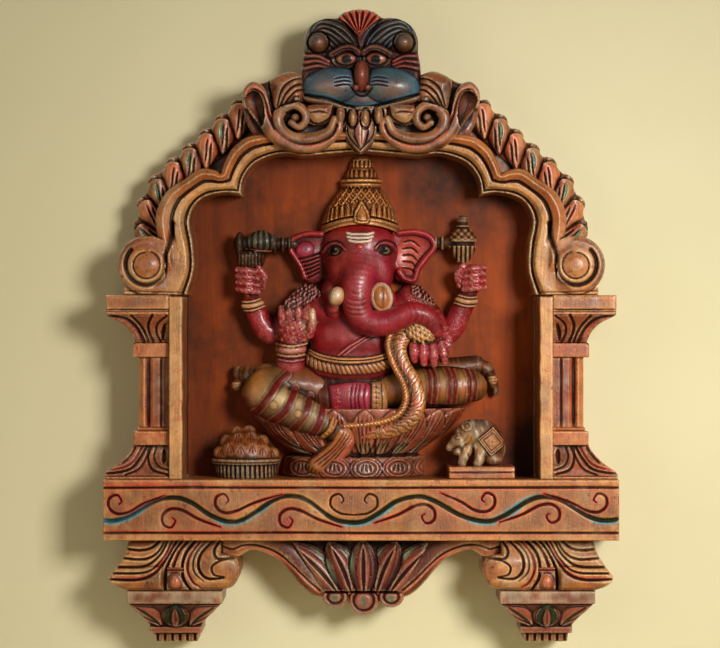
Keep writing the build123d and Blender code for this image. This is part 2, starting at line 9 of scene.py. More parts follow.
import bpy
import numpy as np
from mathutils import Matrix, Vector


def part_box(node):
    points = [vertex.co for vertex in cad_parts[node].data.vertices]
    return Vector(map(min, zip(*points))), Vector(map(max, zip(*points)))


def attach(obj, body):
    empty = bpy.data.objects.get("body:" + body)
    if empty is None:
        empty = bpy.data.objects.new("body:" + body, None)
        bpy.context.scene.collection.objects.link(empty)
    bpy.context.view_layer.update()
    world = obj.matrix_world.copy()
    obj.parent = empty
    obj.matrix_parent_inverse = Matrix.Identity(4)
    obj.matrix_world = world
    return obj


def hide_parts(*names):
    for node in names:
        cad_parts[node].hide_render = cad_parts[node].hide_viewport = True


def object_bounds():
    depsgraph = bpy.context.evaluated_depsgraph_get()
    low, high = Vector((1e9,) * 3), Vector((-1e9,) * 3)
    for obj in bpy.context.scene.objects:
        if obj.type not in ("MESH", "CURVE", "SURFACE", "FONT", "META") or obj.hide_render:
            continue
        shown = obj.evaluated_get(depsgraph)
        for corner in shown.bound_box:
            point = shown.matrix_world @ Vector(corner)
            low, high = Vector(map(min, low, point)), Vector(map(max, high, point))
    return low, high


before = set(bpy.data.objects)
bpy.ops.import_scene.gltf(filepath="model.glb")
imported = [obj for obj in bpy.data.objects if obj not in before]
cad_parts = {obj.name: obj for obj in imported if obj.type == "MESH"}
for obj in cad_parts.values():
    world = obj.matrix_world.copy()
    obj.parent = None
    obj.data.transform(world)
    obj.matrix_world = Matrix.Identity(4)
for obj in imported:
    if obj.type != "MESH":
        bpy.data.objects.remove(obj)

import openvdb
from mathutils import Vector

CAD_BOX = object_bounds()
MM = 0.001
FINE = 0.75  # grid steps of the carvings, in millimetres
MEDIUM = 0.9


def box_mm(node):
    """Lowest and highest corner of a CAD node as (x, d, z), in millimetres."""
    low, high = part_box(node)
    return np.array([low.x, -high.y, low.z]) / MM, np.array([high.x, -low.y, high.z]) / MM


# ---- paint: what the brush put on, as linear colours -------------------------------------------------
def srgb(red, green, blue):
    """A colour as it looks on a screen, from 0 to 255, as the linear values that shaders use."""
    return tuple(((v / 255 + 0.055) / 1.055) ** 2.4 if v > 10 else v / 3294 for v in (red, green, blue))


PAINT = {
    "tan": srgb(186, 132, 80), "cream": srgb(206, 172, 128), "brown": srgb(120, 68, 38),
    "dark": srgb(38, 18, 16),
    "terracotta": srgb(176, 84, 52), "pink": srgb(206, 122, 98), "red": srgb(196, 58, 30),
    "maroon": srgb(88, 24, 30),
    "teal": srgb(44, 176, 152), "green": srgb(50, 92, 66), "blue": srgb(60, 160, 220),
    "slate": srgb(84, 124, 158),
    "skin": srgb(156, 36, 44), "magenta": srgb(158, 36, 84), "gold": srgb(182, 128, 58),
    "olive": srgb(120, 88, 44),
    "bronze": srgb(92, 62, 36), "ivory": srgb(222, 200, 150), "black": srgb(14, 10, 12),
    "orange": srgb(200, 110, 62), "petal": srgb(164, 92, 72), "crimson": srgb(104, 8, 18),
    "straw": srgb(184, 160, 100), "bare": srgb(168, 110, 66),
    # brighter than white, for places where the varnish would otherwise swallow them
    "chalk": (0.85, 1.6, 1.25), "linen": (0.85, 0.92, 0.80), "bone": (1.0, 1.45, 1.7),
    "jade": (0.12, 1.0, 0.6),
    "gilding": (0.60, 0.68, 0.20), "cyan": (0.03, 0.5, 1.25), "ember": (1.1, 0.14, 0.05),
}


def tint(paint):
    """A paint's colour, ready for the arrays of a carving."""
    return np.array(PAINT[paint], np.float32)


# ---- lines in the front view -------------------------------------------------------------------------
def smooth(points, steps=10):
    """A smooth line through given points."""
    p = np.array(points, float)
    ends = np.vstack([2 * p[0] - p[1], p, 2 * p[-1] - p[-2]])
    t = np.linspace(0, 1, steps, endpoint=False)[:, None]
    runs = []
    for a, b, c, e in zip(ends, ends[1:], ends[2:], ends[3:]):
        runs.append(0.5 * (2 * b + (c - a) * t + (2 * a - 5 * b + 4 * c - e) * t**2
                           + (3 * b - a - 3 * c + e) * t**3))
    return np.vstack([*runs, p[-1:]])


def flipped(side, points):
    """Points of the right half, put on the side that is asked for: 1 is right, -1 left."""
    return [(side * px, pz) for px, pz in points]


def arc(centre, radius, start, end, steps=24, end_radius=None):
    """Points on an arc or, with end_radius, on a spiral; angles in degrees, counterclockwise from +x."""
    angle = np.radians(np.linspace(start, end, steps))
    reach = np.linspace(radius, radius if end_radius is None else end_radius, steps)
    return np.column_stack([centre[0] + reach * np.cos(angle), centre[1] + reach * np.sin(angle)])


def near_line(x, z, line):
    """How far every point is from a line, where along it the nearest place is (0 to 1), and on which side."""
    line = np.asarray(line, float)
    runs = np.linalg.norm(np.diff(line, axis=0), axis=1)
    reach = np.concatenate([[0], np.cumsum(runs)])
    best = np.full(np.broadcast(x, z).shape, 1e9, np.float32)
    along, side = np.zeros_like(best), np.zeros_like(best)
    for k, (a, b) in enumerate(zip(line, line[1:])):
        way = b - a
        px, pz = x - a[0], z - a[1]
        t = np.clip((px * way[0] + pz * way[1]) / max(runs[k] ** 2, 1e-9), 0, 1)
        away = np.hypot(px - t * way[0], pz - t * way[1])
        nearer = away < best
        best = np.where(nearer, away, best)
        along = np.where(nearer, (reach[k] + t * runs[k]) / reach[-1], along)
        side = np.where(nearer, np.sign(way[0] * pz - way[1] * px), side)
    return best, along, best * side


def region(x, z, outline):
    """Signed distance to a closed outline, negative inside."""
    outline = np.asarray(outline, float)
    closed = np.vstack([outline, outline[:1]])
    away = near_line(x, z, closed)[0]
    inside = np.zeros(away.shape, bool)
    for a, b in zip(closed, closed[1:]):
        if a[1] != b[1]:
            crosses = (a[1] > z) != (b[1] > z)
            inside ^= crosses & (x < a[0] + (z - a[1]) * (b[0] - a[0]) / (b[1] - a[1]))
    return np.where(inside, -away, away)


def rectangle(x, z, x0, x1, z0, z1):
    """Signed distance to an upright rectangle in the front view."""
    dx = np.maximum(x0 - x, x - x1)
    dz = np.maximum(z0 - z, z - z1)
    return np.minimum(np.maximum(dx, dz), 0) + np.hypot(np.maximum(dx, 0), np.maximum(dz, 0))


def ramp(value, start, end):
    """Smooth step from 0 at start to 1 at end."""
    t = np.clip((value - start) / (end - start), 0, 1)
    return t * t * (3 - 2 * t)


def half_round(across):
    """The height of a half-round ridge: 1 in its middle and 0 where across reaches 1."""
    return np.sqrt(np.clip(1 - across**2, 0, 1))


def pillow(outline, shoulder):
    """1 inside an outline, rounded down to 0 over the last part of it, which is as wide as shoulder."""
    return np.sqrt(np.clip(-outline / shoulder, 0, 1))


def bell(value, width=1.0):
    """1 where value is 0, and falling off to both sides within about width."""
    return np.exp(-(value / width) ** 2)


def wobble(*axes, scale, seed=0):
    """A smooth random wave between about -1 and 1, the same on every run."""
    rng = np.random.default_rng(seed)
    total = 0.0
    for octave in range(4):
        way = rng.normal(size=len(axes))
        way *= (1 + 0.6 * octave) / (np.linalg.norm(way) * scale)
        total = total + np.sin(sum(a * w for a, w in zip(axes, way)) + rng.uniform(0, 6.28)) / 4
    return total


# ---- carving -----------------------------------------------------------------------------------------
class Relief:
    """The front of a carved block as a height map: every place's depth from the wall, and its paint."""

    def __init__(self, x0, x1, z0, z1, step=FINE, height=0.0, paint="tan"):
        self.step = step
        self.x = np.arange(x0 - 3 * step, x1 + 3 * step, step)[:, None]
        self.z = np.arange(z0 - 3 * step, z1 + 3 * step, step)[None, :]
        shape = np.broadcast(self.x, self.z).shape
        self.height = np.full(shape, float(height))
        self.colour = np.tile(tint(paint), (*shape, 1))

    def brush(self, paint, amount):
        """Lays paint where amount, from 0 to 1, says."""
        amount = np.clip(amount, 0, 1)[..., None]
        self.colour += (tint(paint) - self.colour) * amount

    def patch(self, paint, amount, x, z, wide, tall, tilt=0.0):
        """Brushes paint on around a place, fading out at the rim of an ellipse."""
        self.brush(paint, amount * bell(spot(self, x, z, wide, tall, tilt)))

    def mottle(self, paint, amount, scale, seed, start, end):
        """Brushes paint on in random patches, where a wobble of that scale rises from start to end."""
        self.brush(paint, amount * ramp(wobble(self.x, self.z, scale=scale, seed=seed), start, end))

    def fill(self, paint, where):
        """Covers the picked places with plain paint."""
        self.colour = np.where(where[..., None], tint(paint), self.colour)

    def level(self, where, height):
        """Gives the picked places a new height."""
        self.height = np.where(where, height, self.height)

    def roughen(self, depth, scale, seed):
        """Lays shallow random waves over the whole front."""
        self.height = self.height + depth * wobble(self.x, self.z, scale=scale, seed=seed)

    def away(self, line):
        """How far every place is from a line."""
        return near_line(self.x, self.z, line)[0]

    def beside(self, line):
        """The same, with a minus on the right of the line as it runs."""
        return near_line(self.x, self.z, line)[2]

    def cut(self, points, *measures, **how):
        """A groove along the smooth line through given points."""
        self.groove(smooth(points), *measures, **how)

    def groove(self, line, width, depth, paint="dark", taper=0.0, strength=0.9):
        """A V cut along a line; taper makes both its ends run out thin."""
        away, along, _ = near_line(self.x, self.z, line)
        wide = width / 2 * (1 - taper * np.abs(2 * along - 1) ** 3)
        cut = np.clip(1 - away / np.maximum(wide, 0.05), 0, 1)
        self.height -= depth * cut
        if paint:
            self.brush(paint, strength * ramp(cut, 0.0, 0.5))

    def leaf(self, line, width, rise, low, paint, edge_paint=None, vein=1.0, belly=0.5, hollow=0.0,
             point=0.8):
        """A leaf along a line from root to tip: widest at belly, its middle standing rise above low."""
        away, along, side = near_line(self.x, self.z, line)
        bend = np.log(0.5) / np.log(belly)
        wide = width / 2 * np.sin(np.pi * np.clip(along, 0, 1) ** bend) ** point + 0.05
        across = away / wide
        inside = across < 1
        top = low + rise * half_round(across) * (1 - hollow * (1 - across**2) ** 2)
        top -= vein * np.clip(1 - away / 1.1, 0, 1)
        taken = inside & (top > self.height - 0.5 * rise)
        self.level(taken, top)
        self.fill(paint, taken)
        if edge_paint:
            rim = taken & (across > 0.72)
            self.fill(edge_paint, rim)
        outline = (~inside) & (across < 1.0 + 1.2 / np.maximum(wide, 1)) & (away < wide + 1.2)
        self.brush("dark", 0.75 * outline)
        return along, side, across, taken


def spot(relief, x, z, wide, tall, tilt=0.0):
    """Distance from the middle of an ellipse, 1 on its rim; tilt in degrees, counterclockwise."""
    turn = math.radians(tilt)
    u = (relief.x - x) * math.cos(turn) + (relief.z - z) * math.sin(turn)
    v = (relief.z - z) * math.cos(turn) - (relief.x - x) * math.sin(turn)
    return np.hypot(u / wide, v / tall)


def dome(relief, q, low, rise, paint=None, power=0.5):
    """A rounded boss where q is under 1, standing rise above low."""
    top = low + rise * np.clip(1 - q**2, 0, 1) ** power
    taken = (q < 1) & (top > relief.height)
    relief.level(taken, top)
    if paint:
        relief.fill(paint, taken)
    return taken


def band(relief, line, width, low, rise, paint):
    """A rounded strap along a line."""
    away = near_line(relief.x, relief.z, line)[0]
    return dome(relief, away / (width / 2), low, rise, paint)


def shape_relief(relief, outline, back=0.0, round_off=3.0):
    """The block with that front, that outline (negative inside), a flat back and rounded edges."""
    step = relief.step
    edge = np.clip(-outline, 0, round_off)
    top = relief.height - round_off + np.sqrt(np.clip(round_off**2 - (round_off - edge) ** 2, 0, None))
    slope = np.hypot(*np.gradient(top, step))
    depth = np.arange(back - 3 * step, top[outline < 0].max() + 3 * step, step)
    front = (depth[None, :, None] - top[:, None, :]) / np.sqrt(1 + np.minimum(slope, 6.0) ** 2)[:, None, :]
    field = np.maximum(front, outline[:, None, :])
    field = np.maximum(field, back - depth[None, :, None])
    low = (relief.x[0, 0], depth[0], relief.z[0, 0])
    return Carving(low, field.astype(np.float32), step, relief)


NEAR_REACH, FAR_REACH = 2.2, 6.0  # how far around a place the surface is averaged to find ridges and hollows
UNPAINTED = 7, 17  # paint fades to bare wood over this depth behind the front


class Carving:
    """A solid as a grid of distances, negative inside, and the relief that paints it."""

    def __init__(self, low, field, step, relief):
        self.low, self.field, self.step, self.relief = np.array(low, float), field, step, relief

    def mesh(self, name, mirrored=False):
        """The surface as a Blender object, with its colours and the measure of ridges and hollows."""
        grid = openvdb.FloatGrid(background=3.0)
        grid.copyFromArray(np.clip(self.field / self.step, -3, 3).astype(np.float32))
        points, quads = grid.convertToQuads(isovalue=0.0)
        places = self.low + points * self.step
        near = blur(np.clip(self.field, -4, 4), max(1, round(NEAR_REACH / self.step)))
        far = blur(np.clip(self.field, -9, 9), max(1, round(FAR_REACH / self.step)))
        # the far average darkens broad hollows further, on top of the dark wax: painted occlusion shade
        relief_measure = sample((near + 0.3 * np.minimum(far, 0.5))[..., None], points)[:, 0]
        at = np.column_stack([(places[:, 0] - self.relief.x[0, 0]) / self.step,
                              (places[:, 2] - self.relief.z[0, 0]) / self.step])
        colours = sample(self.relief.colour, at)
        behind = ramp(sample(self.relief.height[..., None], at)[:, 0] - places[:, 1], *UNPAINTED)
        colours += (np.array(PAINT["bare"]) - colours) * behind[:, None]
        flip = -1 if mirrored else 1
        vertices = np.column_stack([flip * places[:, 0], -places[:, 1], places[:, 2]]) * MM
        faces = quads if mirrored else quads[:, ::-1]
        return surface(name, vertices, faces, colours, relief_measure)


def blur(field, reach):
    """Mean over a cube of 2 reach + 1 cells."""
    for axis in range(field.ndim):
        padded = np.pad(field, [(reach + 1, reach) if a == axis else (0, 0) for a in range(field.ndim)],
                        mode="edge")
        total = np.cumsum(padded, axis=axis, dtype=np.float64)
        first = np.take(total, range(2 * reach + 1, total.shape[axis]), axis=axis)
        last = np.take(total, range(0, total.shape[axis] - 2 * reach - 1), axis=axis)
        field = ((first - last) / (2 * reach + 1)).astype(np.float32)
    return field


def sample(values, places):
    """Linear interpolation of a grid of values at places given in grid cells."""
    dims = places.shape[1]
    base = np.clip(np.floor(places).astype(int), 0, np.array(values.shape[:dims]) - 2)
    part = np.clip(places - base, 0, 1)
    total = 0.0
    for corner in np.ndindex(*(2,) * dims):
        weight = np.prod([part[:, i] if c else 1 - part[:, i] for i, c in enumerate(corner)], axis=0)
        total = total + values[tuple(base[:, i] + c for i, c in enumerate(corner))] * weight[:, None]
    return total


def surface(name, vertices, faces, colours, relief_measure):
    """A mesh object from arrays, smooth shaded, with its paint and relief attributes."""
    mesh = bpy.data.meshes.new(name)
    mesh.vertices.add(len(vertices))
    mesh.vertices.foreach_set("co", vertices.astype(np.float32).ravel())
    mesh.loops.add(faces.size)
    mesh.loops.foreach_set("vertex_index", faces.astype(np.int32).ravel())
    mesh.polygons.add(len(faces))
    mesh.polygons.foreach_set("loop_start", np.arange(0, faces.size, 4, dtype=np.int32))
    mesh.polygons.foreach_set("use_smooth", np.ones(len(faces), bool))
    mesh.update(calc_edges=True)
    paint = mesh.color_attributes.new("paint", "FLOAT_COLOR", "POINT")
    opaque = np.column_stack([colours, np.ones(len(colours))])
    paint.data.foreach_set("color", opaque.astype(np.float32).ravel())
    relief = mesh.attributes.new("relief", "FLOAT", "POINT")
    relief.data.foreach_set("value", relief_measure.astype(np.float32))
    piece = bpy.data.objects.new(name, mesh)
    bpy.context.scene.collection.objects.link(piece)
    return piece


# ---- materials ---------------------------------------------------------------------------------------
class Shading:
    """A new material; its helpers add nodes and hand back what they put out."""

    def __init__(self, name):
        self.material = bpy.data.materials.new(name)
        self.material.use_nodes = True
        self.tree = self.material.node_tree
        self.shader = self.tree.nodes["Principled BSDF"]
        self.place = self.add("ShaderNodeTexCoord").outputs["Object"]

    def put(self, socket, value):
        """Joins a socket to another node's output, or sets it to a constant."""
        if isinstance(value, bpy.types.NodeSocket):
            self.tree.links.new(value, socket)
        else:
            socket.default_value = value

    def add(self, kind, **values):
        """A node with its properties and, by their names, its sockets."""
        node = self.tree.nodes.new(kind)
        for key, value in values.items():
            if key in node.bl_rna.properties:
                setattr(node, key, value)
            else:
                self.put(node.inputs[key.replace("_", " ")], value)
        return node

    def finish(self, **values):
        """Sets or joins sockets of the Principled shader."""
        for key, value in values.items():
            self.put(self.shader.inputs[key.replace("_", " ")], value)

    def stretched(self, scale):
        """The place on the object, drawn out where scale is small."""
        return self.add("ShaderNodeMapping", Vector=self.place, Scale=scale).outputs["Vector"]

    def noise(self, scale, detail, roughness=0.5, distortion=0.0, place=None):
        return self.add("ShaderNodeTexNoise", Vector=place or self.place, Scale=scale, Detail=detail,
                        Roughness=roughness, Distortion=distortion).outputs["Fac"]

    def fit(self, value, from_min, from_max, to_min=0.0, to_max=1.0):
        return self.add("ShaderNodeMapRange", Value=value, From_Min=from_min, From_Max=from_max,
                        To_Min=to_min, To_Max=to_max).outputs["Result"]

    def mix(self, part, first, second, blend_type="MIX"):
        return self.add("ShaderNodeMix", data_type="RGBA", blend_type=blend_type, Factor=part,
                        A=first, B=second).outputs["Result"]

    def calc(self, operation, *values, kind="ShaderNodeMath", out="Value", **more):
        node = self.add(kind, operation=operation, **more)
        for socket, value in zip(node.inputs, values):
            self.put(socket, value)
        return node.outputs[out]


VECTOR = {"kind": "ShaderNodeVectorMath", "out": "Vector"}


def painted_wood(name, coat=0.35, rough=0.42, wax_and_shade=0.9, wear=0.6, grain=0.25, crackle=0.0, metal=0.0,
                 faded=0.4, nicked=0.6, varnish=(0.80, 0.50, 0.36), wear_colour=(0.64, 0.43, 0.25)):
    """Brushed paint over carved wood: dark wax and painted shade in the hollows, rubbed ridges, fine grain,
    amber varnish.
    """
    look = Shading(name)
    paint = look.add("ShaderNodeAttribute", attribute_name="paint").outputs["Color"]
    relief = look.add("ShaderNodeAttribute", attribute_name="relief").outputs["Fac"]
    patches = look.noise(38.0, 5.0, 0.6)
    fibres = look.noise(1.0, 4.0, 0.65, place=look.stretched((900, 900, 60)))
    specks = look.noise(420.0, 3.0, 0.7)

    # amber varnish, uneven in patches and along the fibres
    tone = look.calc("MULTIPLY", look.fit(patches, 0.3, 0.7, 0.55, 1.28),
                     look.fit(fibres, 0.3, 0.7, 1 - grain, 1 + grain))
    amber = look.calc("MULTIPLY", paint, varnish, **VECTOR)
    toned = look.calc("SCALE", amber, Scale=tone, **VECTOR)

    # paint that has faded in places and gone brown in others
    age = look.noise(23.0, 7.0, 0.68)
    pale = look.mix(look.fit(age, 0.52, 0.72, 0.0, faded), toned, (*wear_colour, 1))
    stained = look.mix(look.fit(age, 0.47, 0.3, 0.0, 0.55), pale, (0.55, 0.26, 0.16, 1), "MULTIPLY")

    # rubbed ridges, and nicks anywhere
    rubbing = look.calc("MULTIPLY", look.fit(relief, 0.2, 0.95, 0.0, wear),
                        look.fit(specks, 0.4, 0.62, 0.15, 1.0))
    rubbed = look.mix(rubbing, stained, (*[1.2 * v for v in wear_colour], 1))
    nicks = look.fit(look.noise(150.0, 6.0, 0.75), 0.56, 0.68, 0.0, nicked)
    chipped = look.mix(nicks, rubbed, (0.32, 0.16, 0.10, 1), "MULTIPLY")

    # dark wax in the hollows, with painted shade where they are deep or broad
    wax_and_shade_mask = look.calc("MULTIPLY", look.fit(relief, 0.05, -0.7, 0.0, wax_and_shade),
                       look.fit(patches, 0.25, 0.6, 0.55, 1.1))
    with_wax_and_shade = look.mix(wax_and_shade_mask, chipped, (0.018, 0.008, 0.006, 1))

    height = look.calc("ADD", fibres, specks)
    if crackle:
        cells = look.add("ShaderNodeTexVoronoi", feature="DISTANCE_TO_EDGE", Vector=look.place, Scale=260.0)
        height = look.calc("ADD", height, look.fit(cells.outputs["Distance"], 0.0, 0.12, -crackle, 0.0))
    bump = look.add("ShaderNodeBump", Strength=0.5, Distance=0.0008, Height=height)
    # the darker the place, the duller
    light = look.add("ShaderNodeRGBToBW", Color=with_wax_and_shade).outputs["Val"]
    look.finish(Base_Color=with_wax_and_shade, Roughness=look.fit(specks, 0.3, 0.7, rough - 0.1, rough + 0.14),
                Normal=bump.outputs["Normal"], Coat_Weight=look.fit(light, 0.008, 0.07, 0.1 * coat, coat),
                Specular_IOR_Level=look.fit(light, 0.008, 0.07, 0.1, 0.5), Coat_Roughness=0.22,
                Metallic=metal)
    return look.material


CARVED = painted_wood("carved_wood", wear=0.9, faded=0.5, nicked=0.9, varnish=(0.82, 0.53, 0.29),
                      wear_colour=(0.64, 0.42, 0.21))
RUSSET = painted_wood("russet_wood", wear=0.8, nicked=0.8, varnish=(0.76, 0.34, 0.15),
                      wear_colour=(0.56, 0.29, 0.12))
# a darker copy of the carved wood, for the valance and the feet low under the shelf: darker stain with
# painted shade
DARK_STAIN_AND_SHADE = painted_wood("smoked_wood", wear=0.7, faded=0.3, varnish=(0.50, 0.30, 0.20),
                      wear_colour=(0.44, 0.28, 0.16))
CREST = painted_wood("crest_wood", coat=0.4, rough=0.36, wax_and_shade=0.95, wear=0.75, faded=0.35, nicked=0.9,
                     varnish=(0.56, 0.33, 0.21), wear_colour=(0.50, 0.34, 0.20))
PANEL = painted_wood("panel_wood", coat=0.3, rough=0.4, grain=0.22, faded=0.6, nicked=0.9,
                     varnish=(0.82, 0.50, 0.24),
                     wear_colour=(0.66, 0.40, 0.17))
MASK = painted_wood("mask_wood", coat=0.4, rough=0.38, wax_and_shade=0.95, wear=0.2, faded=0.2,
                    varnish=(0.54, 0.36, 0.28), wear_colour=(0.40, 0.26, 0.17))
SKIN = painted_wood("skin_lacquer", coat=0.35, rough=0.42, wax_and_shade=0.9, wear=0.3, grain=0.1, faded=0.2,
                    nicked=0.45,
                    varnish=(0.86, 0.36, 0.34), wear_colour=(0.52, 0.12, 0.13))
CHIPPED = painted_wood("chipped_lacquer", coat=0.5, rough=0.36, wax_and_shade=0.9, wear=0.55, grain=0.2,
                       crackle=0.8, faded=0.2,
                       varnish=(0.85, 0.38, 0.34), wear_colour=(0.66, 0.24, 0.22))
GILT = painted_wood("gilt_lacquer", coat=0.5, rough=0.34, wax_and_shade=0.95, wear=0.85, grain=0.15, metal=0.3,
                    faded=0.2,
                    varnish=(0.85, 0.50, 0.26), wear_colour=(0.78, 0.44, 0.16))
CLOTH = painted_wood("cloth_lacquer", coat=0.4, rough=0.34, wax_and_shade=0.95, wear=0.35, grain=0.12, faded=0.2,
                     varnish=(0.74, 0.42, 0.26), wear_colour=(0.58, 0.33, 0.18))
SATIN = painted_wood("satin_lacquer", coat=0.22, rough=0.42, wax_and_shade=0.95, wear=0.05, grain=0.1, faded=0.03,
                     nicked=0.5,
                     varnish=(0.86, 0.62, 0.42), wear_colour=(0.50, 0.32, 0.18))
AGED = painted_wood("aged_lacquer", coat=0.15, rough=0.46, wax_and_shade=0.95, wear=0.65, grain=0.15, faded=0.25,
                    nicked=0.7,
                    varnish=(0.72, 0.46, 0.26), wear_colour=(0.54, 0.36, 0.19))


def finish_piece(piece, material, slot, *nodes):
    """Gives a piece its material, hangs it under the root body and hides the CAD nodes that it stands for."""
    piece.data.materials.clear()
    piece.data.materials.append(material)
    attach(piece, "root")
    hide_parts(*nodes)


def both_sides(carving, name, material, slot):
    """The left block and its mirror image on the right."""
    for side in ("left", "right"):
        piece = carving.mesh(f"carved_{name}_{side}", mirrored=side == "right")
        finish_piece(piece, material, slot, f"{name}_{side}")


def one_piece(carving, name, material, slot):
    """A carving that stands for the CAD node of the same name."""
    finish_piece(carving.mesh(f"carved_{name}"), material, slot, name)


def sheet(node, *how, **more):
    """A relief over the front of a CAD node, with its coordinates."""
    low, high = box_mm(node)
    relief = Relief(low[0], high[0], low[2], high[2], *how, **more)
    return relief, relief.x, relief.z


# ---- arch --------------------------------------------------------------------------------------------
def make_arch():
    relief, x, z = sheet("arch_left", MEDIUM)
    inner = np.vstack([smooth([(-166, 176), (-160, 200), (-160.5, 225), (-164, 247), (-158, 263),
                               (-146, 271), (-130, 274),
                               (-115, 271.5)]),
                       smooth([(-115, 271.5), (-113, 287), (-104, 300), (-90, 308), (-73, 311.5),
                               (-55, 309)]), [(0, 314)]])
    outer = np.vstack([[(-190, 205)], smooth([(-196, 231), (-197, 254), (-187, 275), (-170, 287),
                                              (-155, 297), (-141, 296), (-135, 293)]),
                       smooth([(-135, 293), (-130, 306), (-123, 317.5), (-110, 327.5), (-95, 330.5)]),
                       [(0, 334)]])
    to_inner, along, _ = near_line(x, z, inner)
    to_outer = relief.away(outer)
    share = to_inner / (to_inner + to_outer + 1e-6)
    relief.height = np.interp(share, [0, 0.07, 0.11, 0.15, 0.20, 0.30, 0.47, 0.515, 0.555, 0.60,
                                      0.78, 0.93, 1],
                              [54, 59, 59, 55.5, 61, 64.5, 65, 61, 61, 66.5, 71, 68, 64])
    foot = (1 - ramp(z, 222, 240)) * np.maximum(ramp(x, -184, -180), 1 - ramp(z, 198, 208))
    relief.height += foot * ramp(share, 0.2, 0.3) * (65 - relief.height)
    relief.roughen(0.35, 6, 140)
    relief.colour[:] = PAINT["tan"]
    relief.brush("cream", ramp(share, 0.16, 0.21) * (1 - ramp(share, 0.44, 0.49) * (1 - foot)))
    relief.brush("bronze", 0.7 * (1 - ramp(share, 0.09, 0.15)))
    relief.brush("dark", bell(share - 0.145, 0.035) + (1 - foot) * bell(share - 0.525, 0.034))
    relief.brush("maroon", 0.8 * (1 - foot) * bell(share - 0.575, 0.022))
    relief.brush("orange", 0.35 * bell(share - 0.72, 0.1))
    relief.mottle("ivory", 0.5 * bell(share - 0.3, 0.08), 12, 143, -0.6, 0.4)
    cream_band = (share > 0.18) & (share < 0.46)
    cracks = np.abs((along * 210 + 1.5 * wobble(x, z, scale=5, seed=141)) % 1 - 0.5) * 2
    relief.height -= 0.35 * cream_band * ramp(cracks, 0.8, 1.0)
    relief.mottle("brown", 0.4 * cream_band * ramp(cracks, 0.75, 1.0), 9, 142, -0.2, 0.4)
    # the scroll at the foot
    eye = (-205.7, 204.3)
    from_eye = np.hypot(x - eye[0], z - eye[1])
    scroll = (from_eye < 28.6) & (x < -187.5) | (from_eye < 18.5)
    boss = np.interp(from_eye, [0, 6, 11, 13.5, 17, 20, 23, 27, 29],
                     [77.5, 77, 75, 73.5, 72.5, 71.5, 71.5, 70, 65])
    lead = ramp(from_eye, 16, 22) * ramp(x, eye[0] + 2, eye[0] + 8) * ramp(z, eye[1] + 4, eye[1] + 12)
    boss += lead * (71 - boss)
    settle = ramp(from_eye, 19, 22) * ramp(x, -206, -188) * ramp(-z, -203, -195)
    boss += settle * (65.5 - boss)
    relief.level(scroll, boss)
    relief.fill("tan", scroll)
    ahead = smooth([(-188.0, 205), (-187.2, 213), (-184.8, 221), (-182.6, 229), (-181.4, 237),
                    (-180.6, 245)])
    groove = np.vstack([arc(eye, 20.6, 135, 352, 40, 17.7), ahead])
    relief.groove(groove, 5.4, 4.4)
    relief.brush("maroon", 0.7 * bell(relief.away(ahead) - 2.9, 0.7) * (x < -183))
    relief.brush("cream", 0.8 * scroll * bell(relief.away(arc(eye, 15.6, 120, 400, 30, 17)), 1.1))
    spiral = arc(eye, 12.2, 95, 430, 40, 13.6)
    relief.groove(spiral, 2.2, 2.0, "brown")
    relief.brush("ivory", 0.9 * bell(relief.away(arc(eye, 14.2, 100, 380, 36, 15.2)), 1.1) * scroll)
    relief.brush("bronze", 0.6 * scroll * ramp(from_eye, 21, 27) * ramp(-x, -eye[0], -eye[0] + 20))
    relief.patch("brown", 0.5 * scroll, eye[0] - 4, eye[1] + 22, 20, 7)
    relief.groove([(-234, 180.5), (-205, 178.6), (-172, 178.2)], 2.2, 1.6, "brown", strength=0.7)
    outline_points = np.vstack([[(-222, 176)], inner, [(0, 334)], outer[::-1][1:-1], [(-205, 222)],
                                [(-222, 222)]])
    outline = np.minimum(region(x, z, outline_points), from_eye - 28.6)
    outline = np.maximum(np.minimum(outline, rectangle(x, z, -228, -168, 176, 183)), 176 - z)
    both_sides(shape_relief(relief, outline, 0.4, 2.5), "arch", CARVED, "frame_wood")


make_arch()


